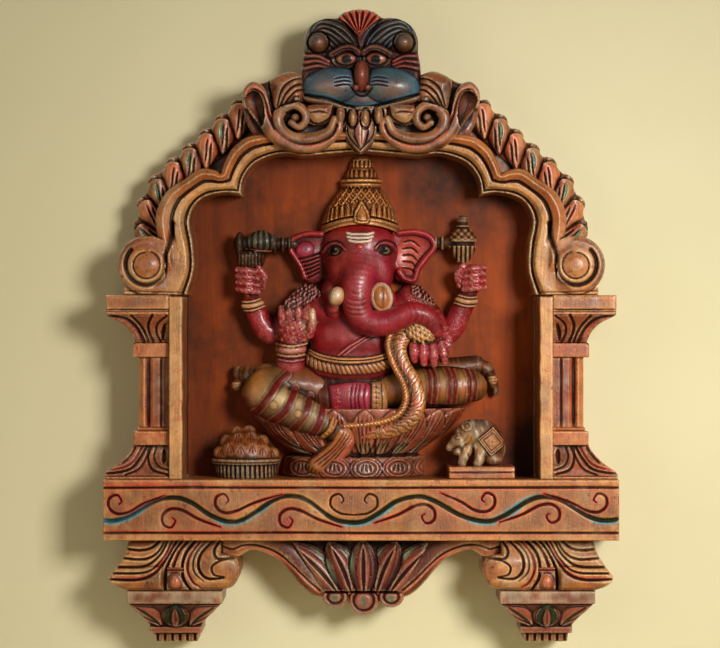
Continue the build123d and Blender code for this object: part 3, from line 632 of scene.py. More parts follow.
# ---- foliage along the arch --------------------------------------------------------------------------
def make_foliage():
    relief, x, z = sheet("foliage_left", FINE, 29, "brown")
    spine = smooth([(-203, 226), (-206, 241), (-201, 263), (-188, 285), (-166, 304), (-140, 327),
                    (-120, 346), (-108, 356)])
    away, _, side = near_line(x, z, spine)
    relief.height = (31 + 7 * half_round(away / 15.5)
                     + 0.5 * wobble(x, z, scale=4, seed=150))
    way = np.gradient(spine, axis=0)
    way /= np.linalg.norm(way, axis=1)[:, None]
    reach = np.concatenate([[0], np.cumsum(np.linalg.norm(np.diff(spine, axis=0), axis=1))])
    outline = away - np.where(side < 0, 30.0, 12.0)
    lobes = 8
    for k in range(lobes):
        at = np.array([np.interp((k + 0.5) / lobes * reach[-1], reach, spine[:, i]) for i in (0, 1)])
        ahead = np.array([np.interp((k + 0.5) / lobes * reach[-1], reach, way[:, i]) for i in (0, 1)])
        out = np.array([-ahead[1], ahead[0]])

        def place(forward, outward, at=at, ahead=ahead, out=out):
            return at + forward * ahead + outward * out

        # a dark lobe behind, on the outer edge, then the fat comma with its tail swept in along the arch
        back = [place(-6, 4), place(2, 10), place(9, 14)]
        relief.leaf(smooth(back), 15, 6, 33, "bronze", vein=0.0, belly=0.6, point=0.45)
        comma = smooth([place(-17, -15), place(-11, -9), place(-4, -2), place(3, 4.5), place(9.5, 7.0)])
        relief.leaf(comma, 24, 13.5, 33.5, "pink" if k % 2 else "petal", vein=0.0, belly=0.66, point=0.5)
        for shift, width in ((-3.0, 3.2), (2.6, 2.4)):
            inner = smooth([place(-13, -12 + shift), place(-7, -7 + shift), place(-1, -1 + shift),
                            place(4, 3 + shift)])
            relief.groove(inner, width, 2.6, "dark", taper=0.8)
        here = np.hypot(x - at[0], z - at[1]) < 14
        # a cream stripe along one side of each comma: painted highlight
        relief.brush("cream", 0.8 * here * bell(relief.beside(comma) - 6.4, 1.8))
        if k % 2 == 0:
            line = smooth([place(-8, -3), place(-2, 3.6), place(4.5, 7.5)])
            relief.groove(line, 3.4, 1.4, "teal", taper=0.6)
        head = place(5, 7.0)
        outline = np.minimum(outline, np.hypot(x - head[0], z - head[1]) - 9.5)
    relief.mottle("brown", 0.35, 5, 151, 0.0, 0.7)
    outline = np.maximum(np.maximum(outline, z - 366), x + 104)
    both_sides(shape_relief(relief, outline, 2.0, 3.0), "foliage", CARVED, "frame_wood")


# ---- pillars -----------------------------------------------------------------------------------------
def make_pillars():
    low, high = box_mm("abacus_left")
    relief = Relief(low[0], -183, low[2], high[2], FINE, high[1] - 1.5, "tan")
    x, z = relief.x, relief.z
    relief.roughen(0.5, 9, 3)
    relief.groove([(-250, 161.6), (-183, 161.6)], 2.4, 2.0)
    relief.mottle("cream", 0.5, 6, 5, 0.1, 0.8)
    both_sides(shape_relief(relief, rectangle(x, z, low[0] + 0.5, -183, 160, 175.6) , 0, 3.0), "abacus",
               CARVED, "frame_wood")

    relief, x, z = sheet("capital_left", FINE, paint="tan")
    relief.height = (0 * x
                     + np.interp(z, [116, 117, 129, 130.5, 133, 140, 148, 155, 156, 160],
                                 [77, 78, 78, 76, 73, 74.5, 78, 83, 85, 85]))
    relief.brush("brown", 0.55 * ramp(z, 130, 134) * ramp(-z, -157, -154))
    relief.cut([(-243, 156), (-226, 153.6), (-215, 145), (-207.5, 131)], 4.2, 3.4, "dark")
    relief.cut([(-240, 154), (-225, 150.5), (-215.5, 141), (-209.5, 131)], 1.8, 1.2, "red")
    relief.cut([(-229.5, 143.5), (-223, 136), (-217, 130)], 4.6, 3.4, "maroon")
    relief.cut([(-219, 156), (-211, 147), (-206, 138), (-203.5, 131)], 3.2, 2.8, "dark")
    relief.cut([(-199, 156.6), (-203.2, 148), (-202.5, 139), (-198.8, 131)], 3.4, 3.0, "dark")
    relief.cut([(-185, 156), (-194.5, 148), (-195.6, 139), (-191.5, 131)], 2.8, 2.6, "maroon")
    relief.cut([(-187.2, 148), (-189.4, 140), (-190, 133)], 5.2, 3.4, "maroon", taper=0.7)
    relief.groove([(-250, 156.4), (-183, 156.4)], 1.6, 1.4, "dark")
    relief.groove([(-222, 130.4), (-183, 130.4)], 1.6, 1.6, "dark")
    relief.mottle("cream", 0.7 * ramp(-z, -129, -127), 3.5, 8, -0.2, 0.7)
    outline = region(x, z, np.vstack([[(-183, 160), (-243.5, 160), (-243, 156)],
                                      smooth([(-241, 155), (-229, 149), (-221, 141), (-216, 130.5)]),
                                      [(-218, 129.5), (-218, 116), (-183, 116)]]))
    both_sides(shape_relief(relief, outline, 0, 1.8), "capital", RUSSET, "frame_wood")

    relief, x, z = sheet("pillar_shaft_left", FINE, paint="tan")
    relief.height = np.interp(x, [-213.5, -208, -206.6, -203.5, -201.6, -199, -193, -191.4, -190.2, -183],
                              [66, 71, 70, 66.5, 70, 72, 72, 69.5, 72, 72]) + 0 * z
    relief.brush("cream", ramp(-x, 207, 209))
    relief.brush("brown", ramp(x, -201, -198) * 0.55)
    relief.brush("maroon", bell(x + 203.8, 1.9) + bell(x + 190.9, 1.0) + 0 * z)
    relief.brush("red", 0.5 * bell(x + 201.4, 0.7) + 0 * z)
    relief.roughen(0.35, 7, 12)
    both_sides(shape_relief(relief, rectangle(x, z, -213.5, -183, 49, 116), 0, 1.2), "pillar_shaft",
               RUSSET, "frame_wood")

    relief, x, z = sheet("pillar_base_left", FINE, paint="tan")
    relief.height = (0 * x
                     + np.interp(z, [0, 2, 4, 9, 16, 24, 31, 32.5, 45, 46, 49],
                                 [84, 84, 82.5, 81, 78, 74.5, 72.5, 77.5, 78, 74, 73]))
    relief.brush("brown", 0.5 * ramp(-z, -31, -28) * ramp(z, 2, 5))
    relief.brush("olive", 0.8 * ramp(x, -202, -199) * ramp(-z, -31, -29) * ramp(z, 4, 6))
    relief.cut([(-205, 31), (-212, 19), (-220, 10), (-233, 6.5), (-246, 5.4)], 3.4, 3.0, "dark")
    relief.cut([(-209, 31), (-217.5, 17), (-229, 10.4), (-246, 8)], 3.0, 2.0, "red")
    relief.cut([(-216, 30), (-221, 23), (-227.5, 15.5)], 4.4, 3.2, "maroon", taper=0.6)
    relief.cut([(-203, 31), (-205.5, 20), (-212.5, 9.5), (-225, 4)], 2.4, 2.2, "dark")
    relief.cut([(-201, 31), (-203.6, 20), (-198.8, 9), (-184, 4)], 2.8, 2.6, "dark")
    relief.cut([(-196, 30), (-198, 21), (-193.5, 12.5), (-184, 8.5)], 2.0, 1.8, "dark")
    relief.cut([(-188.4, 28), (-188.2, 22), (-188.6, 15)], 6.0, 3.4, "maroon", taper=0.8)
    relief.groove([(-246, 2.8), (-183, 2.8)], 1.6, 1.4, "dark")
    relief.groove([(-218, 31.6), (-183, 31.6)], 1.6, 1.5, "dark")
    relief.mottle("cream", 0.7 * ramp(z, 33, 34) * ramp(-z, -46, -45), 3.5, 21, -0.3, 0.6)
    outline = region(x, z, np.vstack([[(-183, 0), (-245, 0), (-245, 4.4)],
                                      smooth([(-243, 7), (-231, 15.5), (-222, 25), (-217.5, 33)]),
                                      [(-217.5, 45), (-214.5, 46), (-214.5, 49), (-183, 49)]]))
    both_sides(shape_relief(relief, outline, 0, 1.8), "pillar_base", RUSSET, "frame_wood")

    relief = Relief(-183, -169, 0, 174, MEDIUM, 86.5, "tan")
    x, z = relief.x, relief.z
    relief.roughen(0.5, 14, 30)
    relief.brush("cream", 0.85 + 0.3 * wobble(x, z, scale=8, seed=31))
    relief.mottle("ivory", 0.4, 6, 34, -0.3, 0.5)
    relief.mottle("orange", 0.5, 5, 33, 0.3, 0.9)
    edge_line = -170.4 + 0.5 * wobble(z, scale=10, seed=32)
    outline = np.maximum(rectangle(x, z, -183, -169, 0, 174), x - edge_line)
    both_sides(shape_relief(relief, outline, 0, 1.6), "side_wall", CARVED, "frame_wood")


# ---- shelf front: a wave with tendrils, cut between two lines ----------------------------------------
def make_shelf_front():
    low, high = box_mm("shelf_front_panel")
    relief = Relief(low[0], high[0], low[2], high[2], 0.7, high[1] - 0.6, "orange")
    x, z = relief.x, relief.z
    relief.brush("cream", 0.45 + 0.35 * wobble(x, z, scale=22, seed=40))
    relief.brush("straw", 0.4 + 0.2 * wobble(x, z, scale=30, seed=47))
    relief.brush("gold", 0.55 * ramp(np.abs(x), 110, 230))
    relief.mottle("ivory", 0.6 * ramp(np.abs(x), 170, 240), 5, 45, 0.0, 0.7)
    relief.mottle("brown", 0.5 * ramp(np.abs(x), 120, 240), 9, 46, 0.2, 0.8)
    top_line = -7.5 + 0.4 * wobble(x, scale=60, seed=41)
    low_line = -50.5 + 0.4 * wobble(x, scale=60, seed=42)
    for line in (top_line, low_line):
        cut = np.clip(1 - np.abs(z - line) / 1.5, 0, 1)
        relief.height = relief.height - 1.9 * cut
        relief.brush("maroon", ramp(cut, 0.0, 0.4))
        relief.brush("red", 0.95 * bell(z - line - 2.0, 0.9) * ramp(-x, 20, 170))
        relief.brush("red", 0.6 * bell(z - line + 1.9, 0.6))
    relief.brush("red", 0.55 * ramp(z, -6, -4) * ramp(-z, 1, 2.5) * ramp(-x, 120, 200))
    wave = smooth([(-250, -38), (-235, -38.7), (-220, -33.9), (-196, -20.3), (-177, -17), (-161, -21.9),
                   (-143, -33.9),
                   (-124, -40), (-108, -35.5), (-82, -18.7), (-65, -15.5), (-50, -20.3), (-28, -36.3),
                   (-12, -40.3),
                   (2, -39.5), (16, -32.3), (34, -20.3), (54, -15.9), (70, -20.3), (95, -33.9),
                   (118, -39.5), (135, -34.7),
                   (160, -19.5), (176, -16.3), (192, -20.3), (216, -34.7), (232, -38.7), (250, -36.5)])
    away, _, side = near_line(x, z, wave)
    relief.brush("cyan", bell(side + 3.0, 1.3) * ramp(np.sin(x / 19.0 + 1.2), -0.2, 0.5))
    relief.brush("cyan", bell(side - 3.0, 1.5) * bell(x - 147, 18))
    relief.groove(wave, 5.4, 2.6, None)
    relief.brush("green", ramp(-away, -2.7, -2.1))
    relief.brush("black", 0.8 * ramp(-away, -1.5, -0.6))
    relief.brush("cyan", 0.8 * ramp(-away, -2.2, -1.6) * ramp(-x, 186, 214))
    curl = [(2.2, -3.6), (4.9, -0.4), (0.6, 5.4), (-6.6, 2.2), (-7.0, -6.5), (0.5, -12.2), (12, -10.8),
            (27, -2.6), (48, 5.2)]

    def tendril(eye_x, eye_z, flip_x, flip_z, length=48.0):
        points = [(eye_x + flip_x * (px if px < 13 else 12 + (px - 12) * (length - 12) / 36),
                   eye_z + flip_z * pz) for px, pz in curl]
        line = smooth(points)
        relief.brush("red", 0.9 * ramp(-relief.away(line), -2.7, -1.6))
        relief.groove(line, 3.3, 2.2, "maroon", taper=0.7, strength=1.0)
        eye = np.hypot(x - eye_x, z - eye_z) - 4.5
        relief.brush("red", 0.85 * ramp(-eye, -0.5, 1.0) * (-100 < eye_x < -60))

    for eye_x, eye_z, flip_x, flip_z, length in (
        (-232.6, -20, 1, 1, 46), (-131, -19, 1, 1, 56), (119.5, -18, -1, 1, 44), (226, -18.5, -1, 1, 52),
        (-181.5, -40, 1, -1, 48), (-70, -40, 1, -1, 52), (62.5, -36, -1, -1, 50), (181, -35.5, -1, -1, 50),
    ):
        tendril(eye_x, eye_z, flip_x, flip_z, length)
    for flip, eye_x in ((1, -21.5), (-1, 8)):
        line = smooth([(eye_x + flip * px, -19 + pz) for px, pz in (*curl[:5], (1, -12.6), (9, -14),
                                                                    (17, -14.6))])
        relief.groove(line, 2.8, 2.0, "maroon", taper=0.75, strength=1.0)
    relief.roughen(0.25, 16, 44)
    carving = shape_relief(relief, rectangle(x, z, low[0], high[0], low[2], high[2]), low[1], 1.6)
    finish_piece(carving.mesh("carved_shelf_front"), PANEL, "panel_wood", "shelf_front_panel")


# ---- brackets under the shelf ------------------------------------------------------------------------
def make_corbels():
    relief, x, z = sheet("corbel_left", FINE, paint="tan")
    left = ramp(-x, 186, 192)
    roll = np.clip(1 - ((z + 97) / 13.0) ** 2, 0, 1)
    relief.height = 70 + 8 * np.sqrt(roll) * left + 6 * ramp(-z, 58, 80) + 0 * x
    centre = (-139, -86)
    reach = np.hypot(x - centre[0], z - centre[1])
    swirl = ramp(x, -170, -164)
    relief.height = relief.height + swirl * 3 * np.clip(1 - (reach / 26.0) ** 2, -0.5, 1)
    relief.brush("gold", 0.6 + 0.3 * wobble(x, z, scale=10, seed=50))
    relief.mottle("olive", 0.7, 14, 51, 0.0, 0.8)
    relief.mottle("ivory", 0.5, 5, 53, 0.3, 0.9)
    relief.mottle("ivory", 0.6 * bell(z + 97.5, 2.0), 8, 54, -0.5, 0.4)
    relief.brush("dark", 0.55 * ramp(-z, 101.5, 107))
    # darker towards the top, under the shelf: painted shade
    relief.brush("brown", 0.6 * ramp(z, -80, -60))
    relief.mottle("bronze", 0.35, 6, 55, -0.1, 0.6)
    relief.brush("brown", 0.5 * ramp(x, -128, -118))
    sweeps = [
        [(-190, -57), (-200, -66), (-211, -68.5), (-223, -67.6)],
        [(-187, -58), (-195, -71), (-208, -77), (-227, -76)],
        [(-184.5, -58), (-192.6, -73), (-207, -83.5), (-232, -84.5)],
        [(-181, -60), (-190, -77), (-205, -88.6), (-236, -90)],
    ]
    for points in sweeps:
        relief.cut(points, 2.8, 3.2, "dark")
        relief.brush("ivory", 0.6 * bell(relief.away(smooth(points)) - 2.4, 0.7))
    relief.cut([(-175.5, -58), (-187.5, -78), (-197, -89.6), (-212, -95.6), (-242, -95.5)], 3.6,
               4.4, "dark")
    relief.cut([(-177.5, -58), (-189, -77.6), (-198, -88), (-212, -93.2), (-240, -93.0)], 3.0, 1.0,
               "red", strength=1.0)
    relief.cut([(-170, -58), (-180, -72), (-186.5, -88), (-187.5, -107)], 3.4, 5.0, "dark")
    relief.cut([(-164, -58), (-174, -70), (-179.5, -84)], 3.4, 3.4, "dark")
    relief.cut([(-166, -58), (-176, -70), (-181, -83)], 1.8, 1.0, "red")
    relief.cut([(-157, -58), (-167.5, -71), (-171, -84), (-169.5, -96), (-163, -107)], 3.4, 5.0, "dark")
    relief.cut([(-152.4, -58), (-163, -72), (-166, -86), (-161.5, -98), (-154, -104)], 3.4, 2.0,
               "red", strength=1.0)
    relief.cut([(-142.5, -60), (-153.6, -73), (-155, -86), (-147, -95), (-131.6, -94.7)], 3.4, 4.2,
               "dark", taper=0.5)
    relief.cut([(-147, -58), (-158.5, -72), (-160, -88), (-150, -98.5)], 2.2, 1.8, "green", taper=0.5)
    relief.cut([(-134, -58), (-140.5, -69), (-136, -76.5), (-120, -74)], 3.4, 3.6, "dark")
    relief.cut([(-121, -76), (-134, -78), (-142.5, -84), (-140.5, -91.5), (-131, -94)], 2.6, 2.8, "bronze")
    bud = spot(relief, -177.8, -99, 6.4, 8.4)
    relief.brush("dark", bell(bud - 1.12, 0.14))
    dome(relief, bud, 73, 6, "orange")
    # lower half of the bud darker: painted shade on its underside
    relief.brush("brown", 0.5 * (bud < 1) * ramp(-z, 98, 106))
    bar = rectangle(x, z, -186, -170, -90, -84.6)
    relief.level(bar < 0, 75)
    relief.brush("terracotta", 0.8 * (bar < -0.6))
    relief.groove([(-187, -87.4), (-169.5, -87.4)], 1.4, 1.6, "dark")
    outline = region(x, z, np.vstack([[(-134, -58), (-222, -58)],
                                      smooth([(-223.5, -62), (-227, -73), (-236, -87), (-241, -94.5),
                                              (-235, -102), (-222, -107)]),
                                      [(-222, -107), (-137, -107)],
                                      smooth([(-137, -107), (-122.5, -103), (-116, -90), (-119, -77),
                                              (-134, -72)])]))
    both_sides(shape_relief(relief, outline, 0, 5.0), "corbel", CARVED, "frame_wood")

    relief, x, z = sheet("corbel_foot_left", FINE, paint="tan")
    middle = -178.0
    u = x - middle
    relief.height = 0 * x + np.interp(z, [-158, -149.2, -149, -148.8, -142.5, -142, -141, -130,
                                          -121, -119.4, -119, -107],
                                      [56, 57, 60, 62, 62.5, 60, 60, 69, 77.5, 78.5, 82, 82])
    cup = ramp(z, -142.6, -141.4) * ramp(-z, 119, 120)
    relief.brush("maroon", 0.75 * cup)
    for tip_x, tip_z, bend in ((-41, -122.5, 6), (41, -122.5, -6)):
        root = (middle + 0.33 * tip_x, -142)
        line = smooth([root, (middle + 0.62 * tip_x + bend * 0.2, -130), (middle + tip_x, tip_z)])
        relief.leaf(line, 17, 4.0, 62 + 10 * ramp(z, -142, -121), "pink", None, vein=0, belly=0.5)
        inner = smooth([root, (middle + 0.6 * tip_x, -132), (middle + 0.9 * tip_x, tip_z - 1)])
        relief.groove(inner, 4.2, 2.2, "green", taper=0.6)
        relief.cut([root, (middle + 0.7 * tip_x, -133.5), (middle + 0.98 * tip_x, tip_z - 4.4)],
                   1.8, 1.8, "dark")
    petal = smooth([(middle, -143), (middle, -131), (middle, -119)])
    relief.leaf(petal, 27, 4.5, 62 + 11 * ramp(z, -142, -121), "pink", None, vein=0, belly=0.45, point=0.62)
    relief.leaf(petal, 21, 0.8, 65.5 + 11 * ramp(z, -142, -121), "dark", None, vein=0, belly=0.45,
                point=0.62)
    relief.leaf(smooth([(middle, -143), (middle, -131), (middle, -120.6)]), 18, 1.5,
                65 + 11 * ramp(z, -142, -121), "green", None, vein=0, belly=0.45, point=0.62)
    relief.leaf(smooth([(middle, -143), (middle, -134), (middle, -124)]), 9.5, 2.6,
                66 + 10 * ramp(z, -142, -121), "terracotta", "dark", vein=1.4, belly=0.45)
    relief.brush("orange", 0.7 * ramp(-z, 142.5, 143.5) * ramp(z, -149.5, -148.5))
    relief.groove([(-225, -119.4), (-131, -119.4)], 1.8, 2.0, "dark")
    relief.groove([(-225, -142.4), (-131, -142.4)], 1.6, 1.6, "dark")
    teeth = np.clip(1 - np.abs(((u + 100.8) % 7.2) - 3.6) / 1.5, 0, 1) * (z < -150.2)
    relief.height = relief.height - 3.5 * ramp(teeth, 0, 0.5)
    relief.brush("dark", ramp(teeth, 0, 0.6))
    relief.mottle("linen", 0.85 * ramp(z, -118, -117), 6, 52, -0.6, 0.3)
    relief.brush("gold", 0.7 * ramp(-z, 149, 150) * (1 - teeth))
    half = np.interp(z, [-158, -149.2, -149, -142.4, -142, -134, -126, -120, -119.2, -119, -107],
                     [20.5, 21.5, 25, 25, 24.5, 30, 38.5, 43.5, 44, 45.5, 45.5])
    outline = np.maximum(np.abs(u) - half, np.maximum(z + 107, -158 - z))
    both_sides(shape_relief(relief, outline, 0, 1.4), "corbel_foot", DARK_STAIN_AND_SHADE, "frame_wood")


def make_valance():
    relief, x, z = sheet("valance_arm_left", FINE, 60, "tan")
    under = smooth([(-134, -72), (-119, -76), (-106, -69.5), (-94, -72), (-81, -78.5), (-70, -90),
                    (-59, -103), (-48, -112.5), (-37, -116)])
    line = smooth([(-134, -66), (-124, -68.6), (-112, -64.6), (-97, -65.6), (-80, -72.5), (-66, -84),
                   (-52, -98), (-40, -108)])
    off_edge = relief.away(under)
    relief.height = (58 + 6 * ramp(off_edge, 2, 9) - 5 * ramp(off_edge, 12, 30)
                     + 0.4 * wobble(x, z, scale=8, seed=60))
    # darker towards the shelf and towards the lotus: painted shade under the shelf
    relief.brush("brown", 0.7 * ramp(off_edge, 9, 26))
    relief.brush("maroon", 0.7 * ramp(x, -112, -72))
    relief.brush("dark", 0.35 * ramp(x, -96, -60))
    relief.groove(line, 3.6, 2.6, "dark")
    relief.brush("ember", 0.6 * bell(relief.away(line - np.array([0.0, 2.4])), 1.2))
    relief.brush("cream", 0.5 * ramp(-off_edge, -4.2, -2.5) * ramp(-x, 60, 100))
    outline = region(x, z, np.vstack([[(-66, -58), (-134, -58)], under, [(-32, -108)]]))
    both_sides(shape_relief(relief, outline, 0, 3.5), "valance_arm", CARVED, "frame_wood")

    relief, x, z = sheet("valance_lotus", FINE, 58, "maroon")
    root = (2, -112)
    for tip, bend in (((-67, -62), 10), ((70, -62), -10), ((-31, -60.5), 6), ((35, -60.5), -6),
                      ((2, -58.5), 0)):
        middle_point = ((root[0] + tip[0]) / 2 + bend * 0.1 + 0.10 * tip[0],
                        (root[1] + tip[1]) / 2 - abs(bend) * 0.35)
        start = (root[0] + 0.34 * tip[0], root[1])
        petal = smooth([start, middle_point, tip])
        relief.leaf(petal, 32, 7.0, 61, "pink", None, vein=0, belly=0.48, point=0.62)
        relief.leaf(petal, 26.5, 0.2, 66, "black", None, vein=0, belly=0.48, point=0.64)
        relief.leaf(petal, 20.0, 1.6, 66, "terracotta", None, vein=0, belly=0.48, point=0.66)
        short = smooth([start, middle_point, (0.9 * tip[0] + 0.1 * middle_point[0],
                                              0.9 * tip[1] + 0.1 * middle_point[1])])
        relief.leaf(short, 14.5, 3.6, 65.4, "orange", None, vein=0, belly=0.48, point=0.7)
        relief.cut([start, middle_point, (0.7 * tip[0] + 0.3 * middle_point[0],
                                          0.7 * tip[1] + 0.3 * middle_point[1])],
                      4.4, 3.0, "black", taper=0.9)
        _, along, side = near_line(x, z, petal)
        edge_line = bell(np.abs(side) - 11.2, 1.6) * ramp(along, 0.2, 0.45) * ramp(-along, -0.85, -0.7)
        relief.brush("jade", 0.7 * edge_line * (side > 0))
        relief.brush("jade", 0.4 * edge_line * (side < 0) * (tip[0] < 0))
    relief.mottle("maroon", 0.4, 9, 66, -1.0, 0.5)
    # darker towards the top, under the shelf: painted shade
    relief.brush("dark", 0.7 * ramp(z, -76, -60))
    outline_top = region(x, z, [(-68, -58), (-36, -109), (-30, -112), (34, -112), (38, -109), (68, -58)])
    lobes = [((-25, -114), 12.5, 11), ((29, -114), 12.5, 11), ((2.5, -117.5), 14.5, 14.2)]
    outline = outline_top
    for (cx, cz), wide, tall in lobes:
        lobe = (np.hypot((x - cx) / wide, (z - cz) / tall) - 1) * tall
        inside = lobe < 0
        outline = np.minimum(outline, lobe)
        rise = 60 + 7 * np.sqrt(np.clip(-lobe / tall * 1.6, 0, 1)) - 3 * bell(lobe + 4.5, 1.6)
        lower = inside & (z < -108.5)
        relief.level(lower, rise)
        relief.fill("pink", lower)
        relief.brush("dark", lower * bell(lobe + 4.6, 1.4))
        relief.brush("teal", 0.8 * lower * bell(np.hypot((x - cx) / 3.2, (z - cz + 1) / 5.5)))
    relief.groove([(-36, -109.5), (40, -109.5)], 3.4, 4.0, "maroon")
    one_piece(shape_relief(relief, outline, 0, 3.0), "valance_lotus", DARK_STAIN_AND_SHADE, "frame_wood")


make_foliage()
make_pillars()
make_shelf_front()
make_corbels()
make_valance()


# ---- crest -------------------------------------------------------------------------------------------
def make_crest_scrolls():
    relief, x, z = sheet("crest_scroll_left", 0.7, 60, "brown")
    relief.height = 60 + 1.2 * wobble(x, z, scale=5, seed=70)
    rim = smooth([(-17, 341), (-22, 328), (-36, 318.5), (-54, 316), (-70, 320), (-84, 331), (-92, 345),
                  (-95, 358), (-98, 369), (-105, 374.5),
                  (-110.5, 369), (-110, 361)])
    dome(relief, relief.away(rim) / 7.2, 71.5, 8.0, "tan", power=0.34)
    # cream along one edge of the rim: painted highlight
    relief.brush("cream", 0.7 * bell(relief.beside(rim) - 1.5, 1.8))
    accent = smooth([(-23, 338), (-28, 328), (-40, 322), (-54, 320), (-67, 323.5), (-79, 333), (-87, 346),
                     (-90.5, 358), (-95, 368), (-102, 372)])
    relief.groove(accent, 3.2, 3.4, "dark")
    relief.brush("ember", 0.95 * bell(relief.beside(accent) - 2.7, 0.9))
    hollow = region(x, z, smooth([(-92, 347), (-93.5, 360), (-98.5, 369.5), (-105, 370.5), (-111, 363),
                                  (-108, 353), (-101, 343), (-95, 337), (-92, 347)]))
    relief.level(hollow < 0, 69 - 7 * pillow(hollow, 8))
    relief.fill("petal", hollow < 0)
    relief.brush("bronze", 0.65 * (hollow < 0) * ramp(-z, -358, -345))
    relief.patch("cream", 0.4 * (hollow < 0), -106, 360, 4, 5)
    relief.cut([(-83, 334), (-88.5, 347), (-92, 361), (-98, 370.5), (-105, 371.6), (-112, 364)],
               2.8, 2.4, "dark", taper=0.4)
    relief.cut([(-81, 332), (-86.5, 346), (-90, 361), (-97.5, 372.5), (-105, 373.8), (-112, 367)],
               2.4, 0.6, "ember", taper=0.3)
    bowl = spot(relief, -45, 334, 17, 11, -12)
    relief.level(bowl < 1, 58 + 4 * bowl**2)
    relief.brush("bronze", ramp(-bowl, -1.0, -0.8))
    volute = smooth([(-25, 344), (-31, 332), (-47, 325), (-64, 325.6), (-76, 333), (-80, 344.5),
                     (-74, 354), (-63.5, 357), (-55, 351.5),
                     (-53.6, 343), (-59.5, 337), (-66.5, 340.5)])
    away, along, _ = near_line(x, z, volute)
    wide = np.interp(along, [0, 0.2, 0.45, 0.75, 1], [3.8, 6.2, 6.6, 5.0, 3.6])
    dome(relief, away / wide, 70, 8.5, "tan", power=0.36)
    relief.brush("cream", 0.8 * bell(away - 0.55 * wide, 1.2))
    relief.mottle("ivory", 0.6 * bell(away, 1.6), 7, 76, -0.2, 0.6)
    dome(relief, spot(relief, -63, 345.5, 4.2, 4.2), 70, 8, "tan")
    relief.cut([(-71.5, 350), (-64.5, 352.5), (-58.6, 349), (-57.6, 343.6), (-61.4, 340.6)], 2.4,
               4.2, "dark")
    fan = region(x, z, smooth([(-54, 362), (-56, 386), (-64, 390), (-76, 388.5), (-87, 382), (-86, 368),
                               (-82.5, 354), (-74, 357), (-62, 360), (-54, 362)]))
    relief.level(fan < 0, 63 + 8 * pillow(fan, 9))
    relief.fill("tan", fan < 0)
    for points in ([(-55, 384), (-66, 381.5), (-75.5, 373), (-80.5, 357)],
                   [(-55, 378.5), (-64, 376), (-72.5, 368), (-78, 356)],
                   [(-55, 373), (-62.5, 371), (-70, 363.5), (-75, 356)]):
        relief.cut(points, 2.4, 3.0, "dark")
        relief.brush("cream", 0.6 * bell(relief.away(smooth(points)) - 2.2, 0.8))
        relief.groove(smooth(points) + np.array([1.2, -1.2]), 1.8, 0.6, "orange", strength=0.8)
    dome(relief, spot(relief, -62, 363.5, 4.4, 4.4), 66, 7, "olive")
    relief.groove(arc((-62, 363.5), 2.6, 30, 330, 16), 1.4, 1.4, "dark")
    beside = ramp(-x, 94, 98) * ramp(-z, -351, -345) * (hollow > 0)
    relief.brush("terracotta", 0.8 * beside)
    relief.brush("dark", 0.8 * beside * bell(relief.away([(-96, 333), (-102, 338), (-107, 349)]), 1.3))
    relief.mottle("bronze", 0.55, 8, 71, 0.0, 0.7)
    relief.mottle("maroon", 0.45, 11, 72, 0.1, 0.8)
    relief.mottle("ivory", 0.4, 6, 73, 0.35, 0.8)
    outline = region(x, z, np.vstack([smooth([(-17, 341), (-19, 330), (-34, 316), (-54, 310.8),
                                              (-72, 314.5), (-92, 322.5), (-105, 332), (-111.5, 345),
                                              (-113.5, 358), (-113, 371), (-106, 379.4), (-97, 379.8),
                                              (-89, 382.5), (-80, 388), (-68, 391.3), (-57, 387)]),
                                      [(-54, 361), (-25, 353)]]))
    both_sides(shape_relief(relief, outline, 14, 5.0), "crest_scroll", CREST, "crest_wood")


